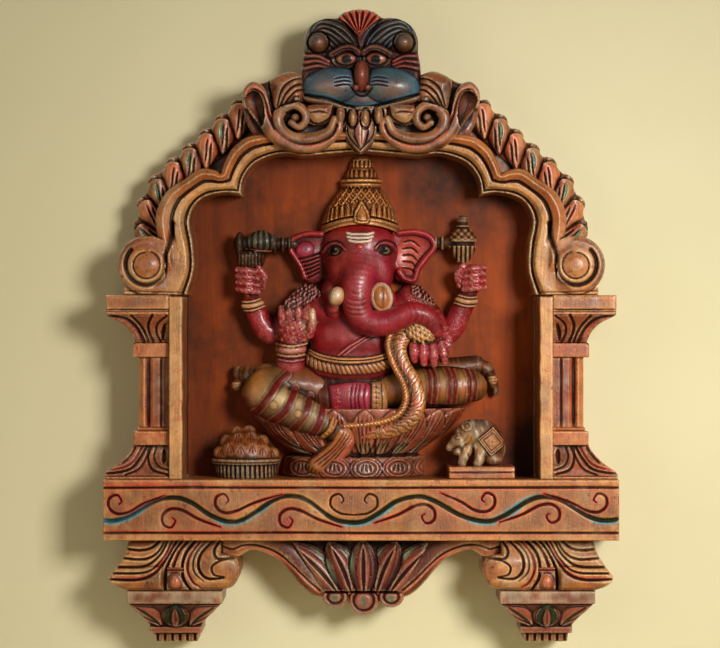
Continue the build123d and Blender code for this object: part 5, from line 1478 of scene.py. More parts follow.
def make_torso():
    torso = Body((-66, 11, 60), (60, 68, 188), "skin", 0.8)
    x, z = torso.x, torso.z
    torso.ball((-8, 30, 142), (46, 25, 26))
    torso.ball((-10, 36, 112), (45, 27, 25), blend=10)
    torso.ball((-40, 26, 158), (22, 17, 20), blend=8)
    torso.ball((38, 26, 158), (20, 17, 20), blend=8)
    torso.ball((-10, 36, 78), (44, 24, 22), blend=6)
    # magenta and pink on the belly: painted sheen; maroon at its sides, a dark band across the chest and one
    # above the belt: painted shade; orange: painted reflection
    torso.patch("magenta", 0.5, 5, 128, 30, 14)
    torso.patch("pink", 0.3, 12, 126, 16, 6)
    torso.brush("maroon", 0.6 * ramp(np.abs(x + 8), 34, 52))
    torso.mottle("maroon", 0.5, 14, 17, 0.0, 0.8)
    torso.brush("dark", 0.5 * bell(z - 150, 8) * (z > 120) + 0.3 * bell(z - 122, 4))
    torso.patch("orange", 0.25, -14, 136, 12, 6)
    for shift in (0, 5.6):
        thread = smooth([(-22 + shift, 118), (-12 + shift, 126), (-2 + shift, 132), (9 + shift, 138.5)])
        torso.strap(thread, 2.3, 1.3)
        torso.brush("pink", 0.5 * bell(torso.away(thread), 1.0))
        torso.brush("maroon", 0.7 * bell(torso.beside(thread) + 1.9, 0.7) * (np.abs(x + 6) < 20))
    for px, pz in ((-44, 150), (-50, 152)):
        torso.knob(px, pz, 2.4, 2.4, 1.0)
    belt = smooth([(-54, 124), (-45, 118.5), (-32, 114.5), (-16, 112.6), (2, 113), (16, 115), (30, 119.5)])
    for shift, width in ((1.6, 2.4), (-1.4, 2.2)):
        torso.strap(belt + np.array([0, shift]), width, 2.2, "gilding")
    torso.brush("dark", 0.8 * bell(torso.away(belt + np.array([0, 0.1])), 0.5))
    torso.brush("dark", 0.8 * bell(torso.away(belt + np.array([0, 3.6])), 0.6))
    rope = belt + np.array([0, -8.6])
    away, along, side = near_line(x, z, rope)
    inside = away < 4.6
    twist = np.abs(((along * 19 + side * 0.11) % 1) - 0.5) * 2
    torso.level(inside, 1.6 * half_round(away / 4.6) - 1.1 * ramp(twist, 0.55, 1.0))
    torso.brush("gilding", 0.7 * inside)
    torso.mottle("bronze", 0.5 * inside, 7, 16, -0.3, 0.5)
    torso.brush("dark", 0.75 * inside * ramp(twist, 0.5, 0.9))
    torso.brush("dark", 0.8 * bell(away - 5.0, 0.6))
    lower = region(x, z, smooth([(-54, 108), (-40, 99), (-20, 94.5), (-5, 93.6), (10, 95), (26, 101),
                                 (34, 108), (40, 60), (-54, 60)]))
    lap = lower < 0
    below = ramp(-lower, 0.0, 1.5)
    torso.brush("bronze", below * lap)
    torso.height -= 1.4 * bell(lower + 0.2, 0.9) * (z < 108)
    torso.brush("dark", 0.85 * bell(lower + 0.2, 0.8) * (z < 108))
    folds = np.sin(x * 0.9 + 0.08 * z) * 0.45
    torso.height += np.where(lap, folds, 0)
    front = region(x, z, smooth([(-31, 89), (-29, 70), (-26, 56), (-10, 53), (6, 58), (9, 72), (8, 90),
                                 (-10, 92), (-31, 89)]))
    torso.level(front < 0, 2.2 * pillow(front, 3))
    torso.brush("magenta", ramp(-front, -0.2, 0.4))
    torso.brush("petal", 0.4 * (front < 0) * bell(x + 15, 5))
    torso.brush("dark", 0.8 * bell(front - 0.6, 0.6))
    for shift in (-8.5, -4.5, -1.0, 4.5):
        line = smooth([(shift, 90), (shift - 1.8, 76), (shift + 0.6, 58)])
        torso.groove(line, 1.7, 1.1, "maroon", taper=0.2)
    for k in range(3):
        for tick in ([(-25.5, 85 - 9 * k), (-21.5, 86 - 9 * k)],
                     [(-24.8, 81.5 - 9 * k), (-20.4, 82 - 9 * k)],
                     [(-23.2, 87 - 9 * k), (-22.6, 80.5 - 9 * k)]):
            torso.strap(tick, 1.3, 3.0, "red")
    panel = region(x, z, smooth([(10, 92), (10, 75), (11, 58), (19, 57), (25, 62), (25.5, 78), (24, 92),
                                 (10, 92)]))
    torso.level(panel < 0, 2.0 * pillow(panel, 2.5))
    torso.brush("gilding", 0.75 * ramp(-panel, -0.2, 0.5))
    torso.groove([(19.5, 91), (20.5, 75), (20, 58)], 1.6, 1.1, "dark")
    for k in range(6):
        torso.groove([(12, 88 - 5.4 * k), (18, 87 - 5.4 * k)], 1.3, 0.8, "brown")
        torso.groove([(15, 90 - 5.4 * k), (14.6, 86.5 - 5.4 * k)], 1.1, 0.7, "brown")
    torso.brush("dark", 0.8 * bell(panel - 0.6, 0.6))
    torso.roughen(0.3, 5, 15)
    one_piece(torso.carve(), "torso", SKIN, "skin_lacquer")


def fingers(body, roots, tips, radius, blend=1.6):
    """Fingers as slim limbs from knuckle to tip; each bends where its middle joint is."""
    for root, tip in zip(roots, tips):
        root, tip = np.array(root, float), np.array(tip, float)
        middle = (root + tip) / 2 + (0, 2.4, 0)
        body.limb([root, middle, tip], [radius, radius * 1.02, radius * 0.82], blend=blend)


def make_rear_arms():
    for side, elbow, wrist, palm in ((-1, (-88, 30, 140), (-106, 33, 168), (-108, 33, 190)),
                                     (1, (84, 30, 140), (103, 33, 172), (108, 33, 192))):
        name = "left" if side < 0 else "right"
        low, high = sorted((side * 52.0, side * 132.0))
        arm = Body((low, 11, 122), (high, 56, 215), "skin", 0.8)
        arm.limb([(side * 58, 24, 156), elbow, wrist], [13.5, 12.0, 9.6], blend=3)
        arm.ball(palm, (13.5, 10.5, 14.5), tilt=-side * 8, blend=5)
        for k in range(4):
            z = palm[2] + 9.5 - 6.2 * k
            arm.limb([(palm[0] - side * 8, 40, z - 1.5), (palm[0] + side * 2, 44.5, z),
                      (palm[0] + side * 11, 40, z + 1)], [3.0, 3.6, 3.0], blend=1.4)
        arm.limb([(palm[0] - side * 12, 35, palm[2] - 6), (palm[0] - side * 14, 39, palm[2] + 4),
                  (palm[0] - side * 9, 41, palm[2] + 12)], [3.8, 3.8, 3.0],
                 blend=2)
        x, z = arm.x, arm.z
        hand = ramp(z, wrist[2] + 3, wrist[2] + 9) * (side * x > 80)
        arm.height += hand * 0.9 * wobble(x, z, scale=1.5, seed=21)
        arm.mottle("magenta", 0.45 * hand, 2.5, 22, -0.2, 0.5)
        arm.mottle("pink", 0.6 * hand, 1.3, 23, 0.25, 0.6)
        arm.mottle("maroon", 0.5 * hand, 1.9, 24, 0.15, 0.5)
        arm.mottle("gilding", 0.6 * hand, 1.6, 26, 0.4, 0.8)
        arm.patch("magenta", 0.5, side * 92, 150, 10, 18, side * -30)
        for shift, width, rise in ((0, 5.0, 3.2), (4.2, 2.2, 2.4), (-4.2, 2.2, 2.4)):
            middle = np.array([wrist[0], wrist[2]]) + np.array([side * 0.12, 1.0]) * shift
            line = smooth([middle + (-14.5, side * 2.0 - 0.5), middle + (0, -2.6),
                           middle + (14.5, -side * 2.0 + 0.5)])
            arm.strap(line, width, rise, "gilding")
            arm.brush("dark", 0.8 * bell(arm.away(line) - width / 2 - 0.2, 0.5))
        arm.roughen(0.3, 4, 25)
        piece = arm.carve().mesh(f"carved_rear_arm_{name}")
        finish_piece(piece, CHIPPED, "skin_lacquer", f"rear_arm_{name}")


def leaf_pad(arm, outline, paint, rise, seed):
    """A shoulder ornament: a padded leaf cut with small curling strokes."""
    pad = region(arm.x, arm.z, smooth(outline))
    swell = rise * pillow(pad, 5)
    cuts = (np.sin(1.7 * arm.x + 3.4 * wobble(arm.x, arm.z, scale=4, seed=seed))
            + np.sin(1.3 * arm.z - arm.x + 3 * wobble(arm.x, arm.z, scale=5, seed=seed + 1)))
    arm.level(pad < 0, swell + 0.55 * cuts)
    arm.brush(paint, ramp(-pad, -0.2, 0.5))
    arm.brush("gilding", (pad < 0) * 0.45 * ramp(cuts, 0.6, 1.8))
    arm.brush("dark", (pad < 0) * 0.85 * ramp(-cuts, -0.2, 1.0))
    arm.brush("dark", 0.8 * bell(pad - 0.5, 0.7))


def make_front_arms():
    arm = Body((-92, 11, 96), (-34, 72, 194), "skin", 0.8)
    x, z = arm.x, arm.z
    arm.limb([(-52, 24, 172), (-66, 26, 150), (-68, 34, 118), (-68, 42, 108)], [15, 16, 14, 12.5], blend=3)
    arm.limb([(-68, 42, 112), (-66, 48, 128)], [13.5, 12.5], blend=3)
    arm.ball((-63, 50, 144), (17.5, 12.5, 18), blend=4)
    roots = [(-75, 56, 149), (-68, 58, 152), (-60.5, 58, 152), (-53.5, 57, 150)]
    tips = [(-76.5, 55, 163), (-69, 57, 168.5), (-60.5, 57, 170), (-52, 56, 167)]
    fingers(arm, roots, tips, 4.0)
    arm.limb([(-50, 56, 138), (-47, 60, 148), (-47.5, 60, 160)], [4.6, 4.4, 3.6], blend=2)
    hand = ramp(z, 128, 132) * (region(x, z, [(-86, 172), (-86, 126), (-42, 126), (-42, 172)]) < 0)
    arm.height += hand * 1.0 * wobble(x, z, scale=1.5, seed=31)
    arm.mottle("pink", 0.7 * hand, 1.8, 32, 0.3, 0.6)
    arm.mottle("magenta", 0.5 * hand, 2.4, 33, 0.0, 0.5)
    arm.mottle("maroon", 0.6 * hand, 1.7, 34, 0.1, 0.5)
    arm.patch("maroon", 0.7, -70, 163, 9, 6)
    arm.patch("gilding", 0.85, -46.5, 158, 4, 10, -8)
    arm.patch("chalk", 0.75, -45, 158, 2.4, 7.5, -8)
    arm.mottle("gilding", 0.75 * hand, 2.0, 36, 0.35, 0.7)
    leaf_pad(arm, [(-84, 170), (-78, 180), (-66, 187), (-52, 190), (-42, 186), (-36, 178), (-44, 170),
                   (-56, 166), (-70, 163.5), (-84, 170)], "maroon", 2.4, 35)
    for shift, width, rise, paint in ((0, 7.0, 3.2, "terracotta"), (5.0, 2.4, 2.6, "gilding"),
                                      (-5.0, 2.6, 2.8, "gilding"), (-9.5, 2.4, 1.6, "magenta")):
        line = smooth([(-86, 124.5 + shift), (-68, 121.5 + shift), (-51, 124 + shift)])
        arm.strap(line, width, rise, paint)
        arm.brush("dark", 0.8 * bell(arm.away(line) - width / 2 - 0.2, 0.5))
    arm.patch("chalk", 0.35, -68, 123, 12, 3)
    one_piece(arm.carve(), "front_arm_left", CHIPPED, "skin_lacquer")

    arm = Body((30, 11, 98), (94, 80, 194), "skin", 0.8)
    x, z = arm.x, arm.z
    arm.limb([(50, 24, 172), (66, 28, 154), (76, 38, 138), (72, 46, 130)], [15, 14, 12, 11.5], blend=3)
    arm.ball((66, 50, 132), (18, 13, 15), blend=4)
    roots = [(51, 62, 127), (60, 64, 126), (69, 64, 126), (77.5, 61, 128)]
    tips = [(51.5, 60, 114), (60.5, 62, 111), (70, 62, 110), (80, 58, 112)]
    fingers(arm, roots, tips, 4.7)
    arm.limb([(80, 52, 142), (83, 58, 132), (82, 58, 122)], [5.5, 5.2, 4.2], blend=2)
    sweet = ((58, 62, 140), (15.5, 9.5, 10.5))
    arm.ball(*sweet, tilt=-12, blend=2)
    nut = spot(arm, 57.5, 140, 16.0, 11.0, -12)
    leaves = np.sin(1.1 * x + 0.7 * z + 4.0 * wobble(x, z, scale=5, seed=43)) * np.cos(0.5 * z - 0.4 * x)
    arm.level(nut < 1, 0.9 * leaves)
    arm.brush("gilding", ramp(-nut, -1.02, -0.9))
    arm.brush("bronze", 0.8 * (nut < 1) * ramp(-leaves, 0.2, 0.9))
    arm.patch("chalk", 0.35 * (nut < 1) * ramp(leaves, 0.5, 1.0), 64, 142, 9, 7)
    arm.brush("dark", 0.8 * bell(nut - 1.05, 0.06))
    hand = ramp(-z, -128, -124)
    arm.mottle("pink", 0.5 * hand, 1.4, 42, 0.2, 0.6)
    arm.height += 0.5 * (x > 72) * wobble(x, z, scale=1.5, seed=41)
    arm.mottle("pink", 0.5 * (x > 74), 1.3, 44, 0.15, 0.6)
    arm.patch("magenta", 0.6, 60, 118, 14, 9)
    shoulder = [(48, 186), (58, 190), (70, 184), (79, 172), (80, 164), (70, 166), (60, 170), (50, 176),
                (48, 186)]
    leaf_pad(arm, shoulder, "maroon", 2.2, 45)
    arm.brush("gold", 0.5 * bell(region(x, z, smooth(shoulder)) + 1.0, 1.0))
    one_piece(arm.carve(), "front_arm_right", CHIPPED, "skin_lacquer")


def turned(body, profile, axis_d, centre_x, flat=1.0):
    """Joins a turned shape that stands upright: profile lists (z, radius)."""
    levels, widths = zip(*profile)

    def shape(x, d, z):
        away = np.hypot(x - centre_x, (d - axis_d) / flat) - np.interp(z, levels, widths)
        return np.maximum(0.85 * away, np.maximum(levels[0] - z, z - levels[-1]))

    wide = max(widths)
    body.merge((centre_x - wide, axis_d - wide, levels[0]), (centre_x + wide, axis_d + wide, levels[-1]),
               shape)


def make_emblems():
    left = Body((-130, 13, 198), (-62, 58, 246), "bronze", 0.65)
    x, z = left.x, left.z
    left.ball((-97, 33, 227), (14.5, 13.0, 12.2))
    left.ball((-118, 32, 225), (5.0, 12.0, 12.6))
    left.limb([(-118, 32, 226), (-66, 30, 226)], [7.0, 5.2], blend=1)
    for ring_x, reach in ((-83.5, 9.6), (-76, 8.8), (-69.5, 7.6)):
        left.ball((ring_x, 31, 226), (2.4, reach, reach), blend=0.6)
    turned(left, [(202, 10), (206, 13), (214, 14.5), (218, 13)], 31, -107)
    ribs = np.abs(((x + 97) * (1 + 0.0028 * (z - 227) ** 2) / 6.4 + 0.5) % 1 - 0.5) * 2
    upper = (z > 216) & (np.abs(x + 97) < 13)
    left.height += np.where(upper, 0.9 - 1.7 * ramp(ribs, 0.4, 1.0), 0)
    # pale glints on the rib crests towards the top: painted highlight
    left.brush("bone", 0.3 * upper * bell(ribs - 0.1, 0.2) * ramp(z, 216, 236))
    left.brush("black", upper * ramp(ribs, 0.5, 0.95))
    under = z < 216
    left.height += np.where(under, 0.7 - 1.3 * ramp(np.abs(((x + 1) / 3.4) % 1 - 0.5) * 2, 0.4, 1.0), 0)
    left.brush("olive", 0.7 * under)
    left.brush("black", 0.7 * under * ramp(np.abs(((x + 1) / 3.4) % 1 - 0.5) * 2, 0.5, 0.95))
    left.patch("green", 0.35, -102, 230, 14, 8)
    line = smooth([(-112, 220.6), (-98, 218.6), (-86, 218.4)])
    left.strap(line, 1.8, 1.6, "pink")
    left.brush("black", 0.8 * bell(left.away(line) - 1.5, 0.6))
    left.roughen(0.3, 3, 51)
    left.brush("black", 0.45 + 0.3 * wobble(x, z, scale=8, seed=53))
    left.patch("green", 0.4, -98, 232, 12, 7)
    one_piece(left.carve(), "emblem_left", MASK, "gilt_lacquer")

    right = Body((66, 13, 202), (120, 56, 260), "bronze", 0.65)
    x, z = right.x, right.z
    turned(right, [(208, 6), (211, 7.5), (218, 11.5), (223.5, 13), (224, 11.6), (227.5, 11.6), (228, 13.6),
                   (231, 13.8), (236, 11.6), (240, 8.0), (241, 5.2),
                   (243, 6.8), (245, 4.6), (248, 6.2), (251, 5.4), (254, 2.4)], 30, 99)
    right.limb([(88, 30, 227), (72, 29, 227)], [5.6, 4.8], blend=1)
    right.ball((79, 30, 227), (2.4, 7.6, 7.6), blend=0.6)
    right.ball((72.5, 30, 227), (2.4, 6.6, 6.6), blend=0.6)
    ribs = np.abs(((x - 99) / 4.4 + 0.5) % 1 - 0.5) * 2
    bowl = (z < 223.5) & (x > 85)
    right.height += np.where(bowl, 0.9 - 1.6 * ramp(ribs, 0.4, 1.0), 0)
    right.brush("cream", 0.55 * bowl * bell(ribs, 0.3))
    right.brush("black", 0.85 * bowl * ramp(ribs, 0.55, 0.95))
    cap = (z > 229) & (z < 241) & (x > 85)
    right.brush("olive", 0.8 * cap)
    right.height += np.where(cap, 0.8 * np.sin(0.9 * (x - 99)) * np.sin(0.9 * z), 0)
    right.brush("black", 0.7 * cap * ramp(-np.sin(0.9 * (x - 99)) * np.sin(0.9 * z), 0.2, 0.8))
    right.brush("black", 0.9 * bell(z - 225.7, 1.6) * (x > 85))
    right.brush("cream", 0.7 * bell(z - 229.2, 0.8) * (x > 88))
    right.patch("pink", 0.7, 111.5, 226, 1.8, 5.0)
    right.roughen(0.3, 3, 52)
    one_piece(right.carve(), "emblem_right", AGED, "gilt_lacquer")


def make_left_leg():
    leg = Body((-122, 11, -2), (-2, 88, 112), "olive", 0.85)
    x, z = leg.x, leg.z
    leg.limb([(-34, 32, 82), (-64, 36, 88), (-92, 42, 86)], [19, 21, 19], blend=4)
    leg.limb([(-97, 46, 79), (-78, 54, 70), (-54, 60, 60), (-34, 62, 52)], [19, 18.5, 16.5, 13.5], blend=4)
    leg.limb([(-30, 62, 50), (-18, 62, 40), (-24, 60, 27), (-40, 60, 14)], [12.5, 12.5, 12.0, 10.0],
             blend=4)
    leg.ball((-44, 60, 10), (9, 9, 6.5), blend=4)
    # pale straw along the shin is the cloth's colour with a painted highlight; the linen stripe along shine
    # is painted sheen
    pale = bell(leg.away([(-92, 80), (-60, 66), (-40, 58)]), 11)
    leg.brush("straw", 0.95 * pale)
    leg.mottle("linen", 0.45 * pale, 12, 64, -1.2, 0.5)
    shine = leg.away([(-88, 82), (-60, 69), (-42, 61)])
    leg.brush("linen", 0.6 * bell(shine, 4.5))
    leg.mottle("green", 0.2, 7, 61, 0.0, 0.8)
    split = smooth([(-74, 97), (-66, 89), (-50, 82), (-30, 74)])
    thigh = near_line(x, z, split)
    above = (thigh[2] > 0) & (x > -76)
    leg.brush("brown", 0.8 * above * ramp(thigh[0], 0.0, 2.0))
    leg.brush("gold", 0.6 * ramp(-x, 84, 98) * ramp(z, 66, 78))
    # dark at the left end of the knee: painted shade
    leg.brush("dark", 0.5 * ramp(-x, 100, 114))
    leg.groove(split, 3.0, 2.6, "dark", taper=0.5)
    # maroon towards the edges of the shin and thigh: painted shade on their rounded sides
    for low_line, reach in ((smooth([(-97, 79), (-78, 70), (-54, 60), (-34, 52)]), 16.0),
                            (smooth([(-34, 82), (-64, 88), (-92, 86)]), 19.0)):
        leg.brush("maroon", 0.5 * ramp(leg.away(low_line), reach - 6, reach + 1) * (z < 78))
    crimson = [smooth([(-71, 99.5), (-80, 91), (-87.5, 79), (-98, 66), (-104, 62)]),
               smooth([(-63.5, 85.5), (-67, 75), (-73, 64), (-86.5, 53.5)]),
               smooth([(-49, 78.5), (-51.5, 67), (-56.5, 57), (-66.5, 45)]),
               smooth([(-36, 70), (-38, 60), (-41.5, 50), (-50, 38)])]
    stripes(leg, crimson, 7.4, 1.5, "crimson")
    for (cx, cz), reach in (((-84, 70), 4.4), ((-60, 62), 4.2)):
        for k in range(5):
            turn = 2 * math.pi * k / 5 + 0.4
            leg.knob(cx + reach * 0.55 * math.cos(turn), cz + reach * 0.55 * math.sin(turn), 1.7, 1.7, 0.7)
        leg.knob(cx, cz, 1.3, 1.3, 1.1, "gold")
        leg.patch("ivory", 0.6, cx, cz, reach, reach)
        leg.brush("bronze", 0.7 * bell(spot(leg, cx, cz, reach, reach) - 1.0, 0.15))
    ankle = [smooth([(-21.5 - s, 62 - 0.4 * s), (-27 - s, 48 - 0.4 * s), (-38 - s, 37.5 - 0.4 * s)])
             for s in (0.0, 4.2)]
    for line in ankle:
        leg.strap(line, 3.8, 3.0, "gold")
        away, along, _ = near_line(x, z, line)
        leg.height -= 0.9 * (away < 1.9) * ramp(np.abs((along * 7) % 1 - 0.5), 0.3, 0.5)
        leg.brush("dark", 0.75 * bell(away - 2.2, 0.6))
    sole = region(x, z, smooth([(-6, 44), (-3, 36), (-10, 24), (-26, 6), (-38, 2), (-30, 12), (-18, 26),
                                (-12, 38), (-6, 44)]))
    foot = region(x, z, smooth([(-20, 46), (-10, 50), (-1, 40), (-6, 26), (-24, 2), (-52, 0), (-56, 12),
                                (-42, 22), (-30, 32), (-20, 46)]))
    leg.brush("gold", 0.9 * ramp(-foot, -0.5, 1.0))
    for k in range(4):
        line = smooth([(-16 + 2.6 * k, 44 - 1.6 * k), (-27 + 2.4 * k, 29 - 1.6 * k),
                       (-46 + 3.6 * k, 14.5 - 2.4 * k)])
        leg.groove(line, 2.4, 1.6, "dark", taper=0.6)
        leg.brush("orange", 0.7 * bell(leg.beside(line) + 1.6, 0.8) * (foot < 0))
    leg.brush("pink", 0.95 * ramp(-sole, -0.5, 0.8))
    leg.mottle("magenta", 0.35 * ramp(-sole, -0.5, 0.8), 4, 62, -0.2, 0.6)
    for k in range(4):
        leg.cut([(-50 + 3.4 * k, 12 - 2.0 * k), (-53 + 3.6 * k, 5 - 1.4 * k)], 1.7, 1.5, "dark", taper=0.3)
    leg.patch("maroon", 0.6, -52, 9, 7, 7)
    leg.roughen(0.35, 4, 63)
    one_piece(leg.carve(), "leg_left", SATIN, "cloth_lacquer")


def make_right_leg():
    leg = Body((18, 11, 58), (128, 68, 114), "olive", 0.8)
    z = leg.z
    leg.limb([(30, 36, 84), (60, 41, 87), (88, 42, 88), (106, 40, 88)], [17, 19.5, 19, 15.5])
    leg.ball((112, 36, 86), (9.5, 12, 12), blend=4)
    leg.mottle("orange", 0.55 * bell(z - 86, 9), 9, 71, -0.6, 0.5)
    # straw along the top of the leg: painted highlight; dark at its upper and lower edges and bronze
    # underneath: painted shade
    leg.brush("straw", 0.4 * bell(z - 95, 6))
    leg.brush("dark", 0.6 * ramp(np.abs(z - 88), 13, 19))
    leg.brush("bronze", 0.7 * ramp(-z, -76, -68))
    crimson = []
    for middle in (67.0, 86.0, 105.0):
        for shift in (-2.6, 2.6):
            crimson.append(smooth([(middle + shift - 2.5, 108), (middle + shift + 1.4, 98),
                                   (middle + shift + 2.2, 86), (middle + shift + 0.6, 68)]))
    stripes(leg, crimson, 4.6, 1.2, "crimson")
    leg.cut([(46, 104), (60, 107.5), (82, 107), (100, 105)], 2.2, 1.4, "dark", taper=0.6)
    leg.cut([(44, 71), (70, 69.5), (100, 70), (114, 74)], 2.2, 1.4, "dark", taper=0.6)
    leg.roughen(0.35, 4, 72)
    one_piece(leg.carve(), "leg_right", SATIN, "cloth_lacquer")


def make_sash():
    sash = Body((-40, 44, 40), (62, 88, 150), "gold", 0.7)
    x, z = sash.x, sash.z
    inner = [(30, 60, 144), (26, 62, 128), (31, 64, 110), (40, 67, 92), (43, 70, 76), (36, 71, 62),
             (20, 70, 54.5), (2, 70, 52), (-18, 69, 50)]
    outer = [(44, 56, 142), (36, 60, 126), (40, 62, 108), (50, 64, 90), (53, 66, 72), (45, 67, 56),
             (28, 67, 47), (8, 67, 43.5), (-8, 67, 44)]
    sash.limb(outer, [8.5, 8.0, 8.0, 8.8, 9.4, 9.0, 8.2, 7.4, 5.0], flat=0.55)
    sash.limb(inner, [3.6, 3.4, 3.4, 3.4, 3.6, 3.6, 3.6, 3.4, 3.0], flat=1.4, blend=2)
    line = smooth([(p[0], p[2]) for p in inner])
    away, along, side = near_line(x, z, line)
    rope = away < 3.8
    twist = np.abs(((along * 44 + side * 0.2) % 1) - 0.5) * 2
    sash.height -= np.where(rope, 0.6 * ramp(twist, 0.6, 1.0), 0)
    sash.brush("brown", 0.5 * rope * ramp(twist, 0.7, 0.95))
    sash.brush("cream", 0.5 * bell(away, 1.2))
    frill = smooth([(p[0], p[2]) for p in outer])
    away, along, side = near_line(x, z, frill)
    leafy = (away < 11) & ~rope
    barbs = np.abs(((along * 30 + 0.16 * side + 1.1 * wobble(x, z, scale=5, seed=82)) % 1) - 0.5) * 2
    sash.brush("olive", 0.8 * leafy)
    sash.mottle("terracotta", 0.6 * leafy, 6, 81, -0.2, 0.7)
    sash.height -= np.where(leafy, 0.55 * ramp(barbs, 0.4, 1.0), 0)
    sash.brush("brown", 0.7 * leafy * ramp(barbs, 0.5, 0.95))
    sash.brush("gold", 0.7 * leafy * bell(barbs - 0.15, 0.25) * ramp(np.abs(side), 1, 6))
    sash.mottle("straw", 0.7 * bell(np.abs(side) - 7.0, 1.2) * leafy, 5, 83, -0.4, 0.4)
    sash.brush("dark", 0.8 * bell(sash.away(line) - 4.2, 0.6))
    one_piece(sash.carve(), "sash", GILT, "gilt_lacquer")


def make_bolster():
    bolster = Body((-130, 11, 74), (140, 46, 126), "bronze", 1.0)
    z = bolster.z
    bolster.limb([(-108, 24, 97), (-60, 26, 98), (60, 26, 100), (112, 25, 108)], [11, 14, 14, 9.5])
    bolster.ball((-118, 22, 97), (7, 8, 11), tilt=18, blend=3)
    bolster.ball((-121, 24, 88), (6, 7, 6.5), blend=2)
    bolster.ball((122, 23, 104), (8.5, 8, 7.5), tilt=-30, blend=3)
    bolster.ball((128, 24, 93), (5.5, 7, 9), tilt=15, blend=2)
    bolster.ball((131, 22, 84), (3.5, 6, 6.5), blend=2)
    for k in range(9):
        bolster.cut([(84 + 5 * k, 122), (88 + 5 * k, 108), (86 + 5 * k, 90)], 2.2, 1.3, "dark", taper=0.4)
    for k in range(5):
        bolster.cut([(-96 - 5 * k, 112), (-99 - 5 * k, 98), (-95 - 5 * k, 84)], 2.2, 1.3, "dark", taper=0.4)
    for px, pz in ((-121, 88), (128, 94)):
        bolster.knob(px, pz, 5.5, 5.0, 1.4, "gold")
        for k in range(3):
            bolster.groove([(px - 5, pz - 3 + 3.2 * k), (px + 5, pz - 1.5 + 3.2 * k)], 1.3, 1.0, "dark")
    bolster.brush("gold", 0.5 * bell(z - 108, 3))
    bolster.mottle("maroon", 0.4, 8, 91, 0.1, 0.7)
    one_piece(bolster.carve(), "bolster", AGED, "gilt_lacquer")


make_head()
make_tusks()
make_ears()
make_crown()
make_torso()
make_rear_arms()
make_front_arms()
make_emblems()
make_left_leg()
make_right_leg()
make_sash()
make_bolster()


# ---- lotus seat and offerings ------------------------------------------------------------------------
def make_lotus_seat():
    lotus = Body((-122, 11, -1), (112, 80, 74), "petal", 0.85)
    x, z = lotus.x, lotus.z
    levels = [0, 2, 19, 22, 26, 42, 56, 66, 70]
    widths = [68, 70, 68, 62, 66, 88, 101, 107, 104]
    depths = [57, 59, 56, 48, 50, 56, 60, 61, 59]

    def shape(px, pd, pz):
        wide, deep = np.interp(pz, levels, widths), np.interp(pz, levels, depths)
        around = np.sqrt(((px + 8 - 0.06 * pz) / wide) ** 2 + ((pd - 12) / deep) ** 2) - 1
        return np.maximum(around * 46, np.maximum(-pz, pz - 66.5))

    lotus.merge((-122, 11, 0), (112, 80, 70), shape)
    petals = [
        ([(-52, 18), (-80, 31), (-101, 47), (-114, 66)], 25),
        ([(54, 19), (76, 36), (88, 52), (96, 67)], 25),
        ([(-40, 18), (-62, 28), (-80, 42), (-90, 60)], 24),
        ([(42, 18), (60, 34), (70, 50), (77, 66)], 25),
        ([(-26, 18), (-42, 28), (-54, 44), (-60, 60)], 24),
        ([(28, 18), (42, 32), (52, 48), (57, 66)], 24),
        ([(-10, 18), (-18, 32), (-24, 50), (-26, 66)], 24),
        ([(14, 18), (22, 32), (28, 48), (32, 66)], 23),
        ([(1, 18), (3, 32), (3, 48), (4, 66)], 24),
    ]
    for points, width in petals:
        line = smooth(points)
        lotus.leaf(line, width, 3.2, 0.0, "petal", "pink", vein=0.0, belly=0.6, point=0.65)
        lean = np.sign(points[-1][0] - points[0][0])
        for shift in (-6.0, -2.4, 2.4, 6.0):
            stroke = smooth([(px + shift * (0.45 + 0.25 * k), pz + 1.5) for k, (px, pz)
                             in enumerate(points)])[6:-4]
            lotus.groove(stroke, 1.9, 1.3, "maroon", taper=0.7, strength=0.75)
        for shift in (-4.2, 0.4, 4.6):
            stroke = smooth([(points[0][0] + shift + 3 * lean, points[0][1] + 5),
                             (points[1][0] + shift, points[1][1] + 2)])
            lotus.groove(stroke, 3.2, 1.6, "green", taper=1.0, strength=1.0)
            lotus.brush("teal", 0.8 * bell(lotus.beside(stroke) - 1.0, 0.6))
            lotus.brush("black", 0.6 * bell(lotus.away(stroke), 0.6))
    lotus.height -= 2.2 * bell(z - 21.0, 1.5)
    lotus.brush("dark", 0.9 * bell(z - 21.0, 1.5))
    for cx in (-57, -26, 5, 36, 66):
        petal = spot(lotus, cx, 9.5, 15.5, 10.8)
        inside = (petal < 1) & (z < 20.4)
        lotus.level(inside, 2.6 * half_round(petal) + 0.5)
        lotus.brush("petal", inside)
        for ring in (0.86, 0.6):
            lotus.height -= inside * 1.2 * bell(petal - ring, 0.06)
            lotus.brush("dark", 0.75 * inside * bell(petal - ring, 0.05))
        lotus.brush("pink", 0.7 * inside * bell(petal - 0.73, 0.06))
        for shift in (-5, 0, 5):
            lotus.cut([(cx + shift, 6.0), (cx + shift * 0.8, 10.5), (cx + shift * 0.5, 14.0)], 2.6,
                      1.2, "green", taper=0.9, strength=0.9)
        lotus.brush("dark", 0.8 * bell(petal - 1.05, 0.05) * (z < 20))
    lotus.mottle("maroon", 0.5, 11, 101, -0.1, 0.8)
    lotus.brush("brown", 0.5 * ramp(x, 50, 80) + 0.4 * bell(z - 34, 6))
    # darker towards the bottom: painted shade on the pedestal
    lotus.mottle("dark", 0.55 * ramp(-z, -24, -14), 9, 103, -0.9, 0.5)
    lotus.roughen(0.3, 5, 102)
    one_piece(lotus.carve(), "lotus_seat", CLOTH, "lotus_lacquer")


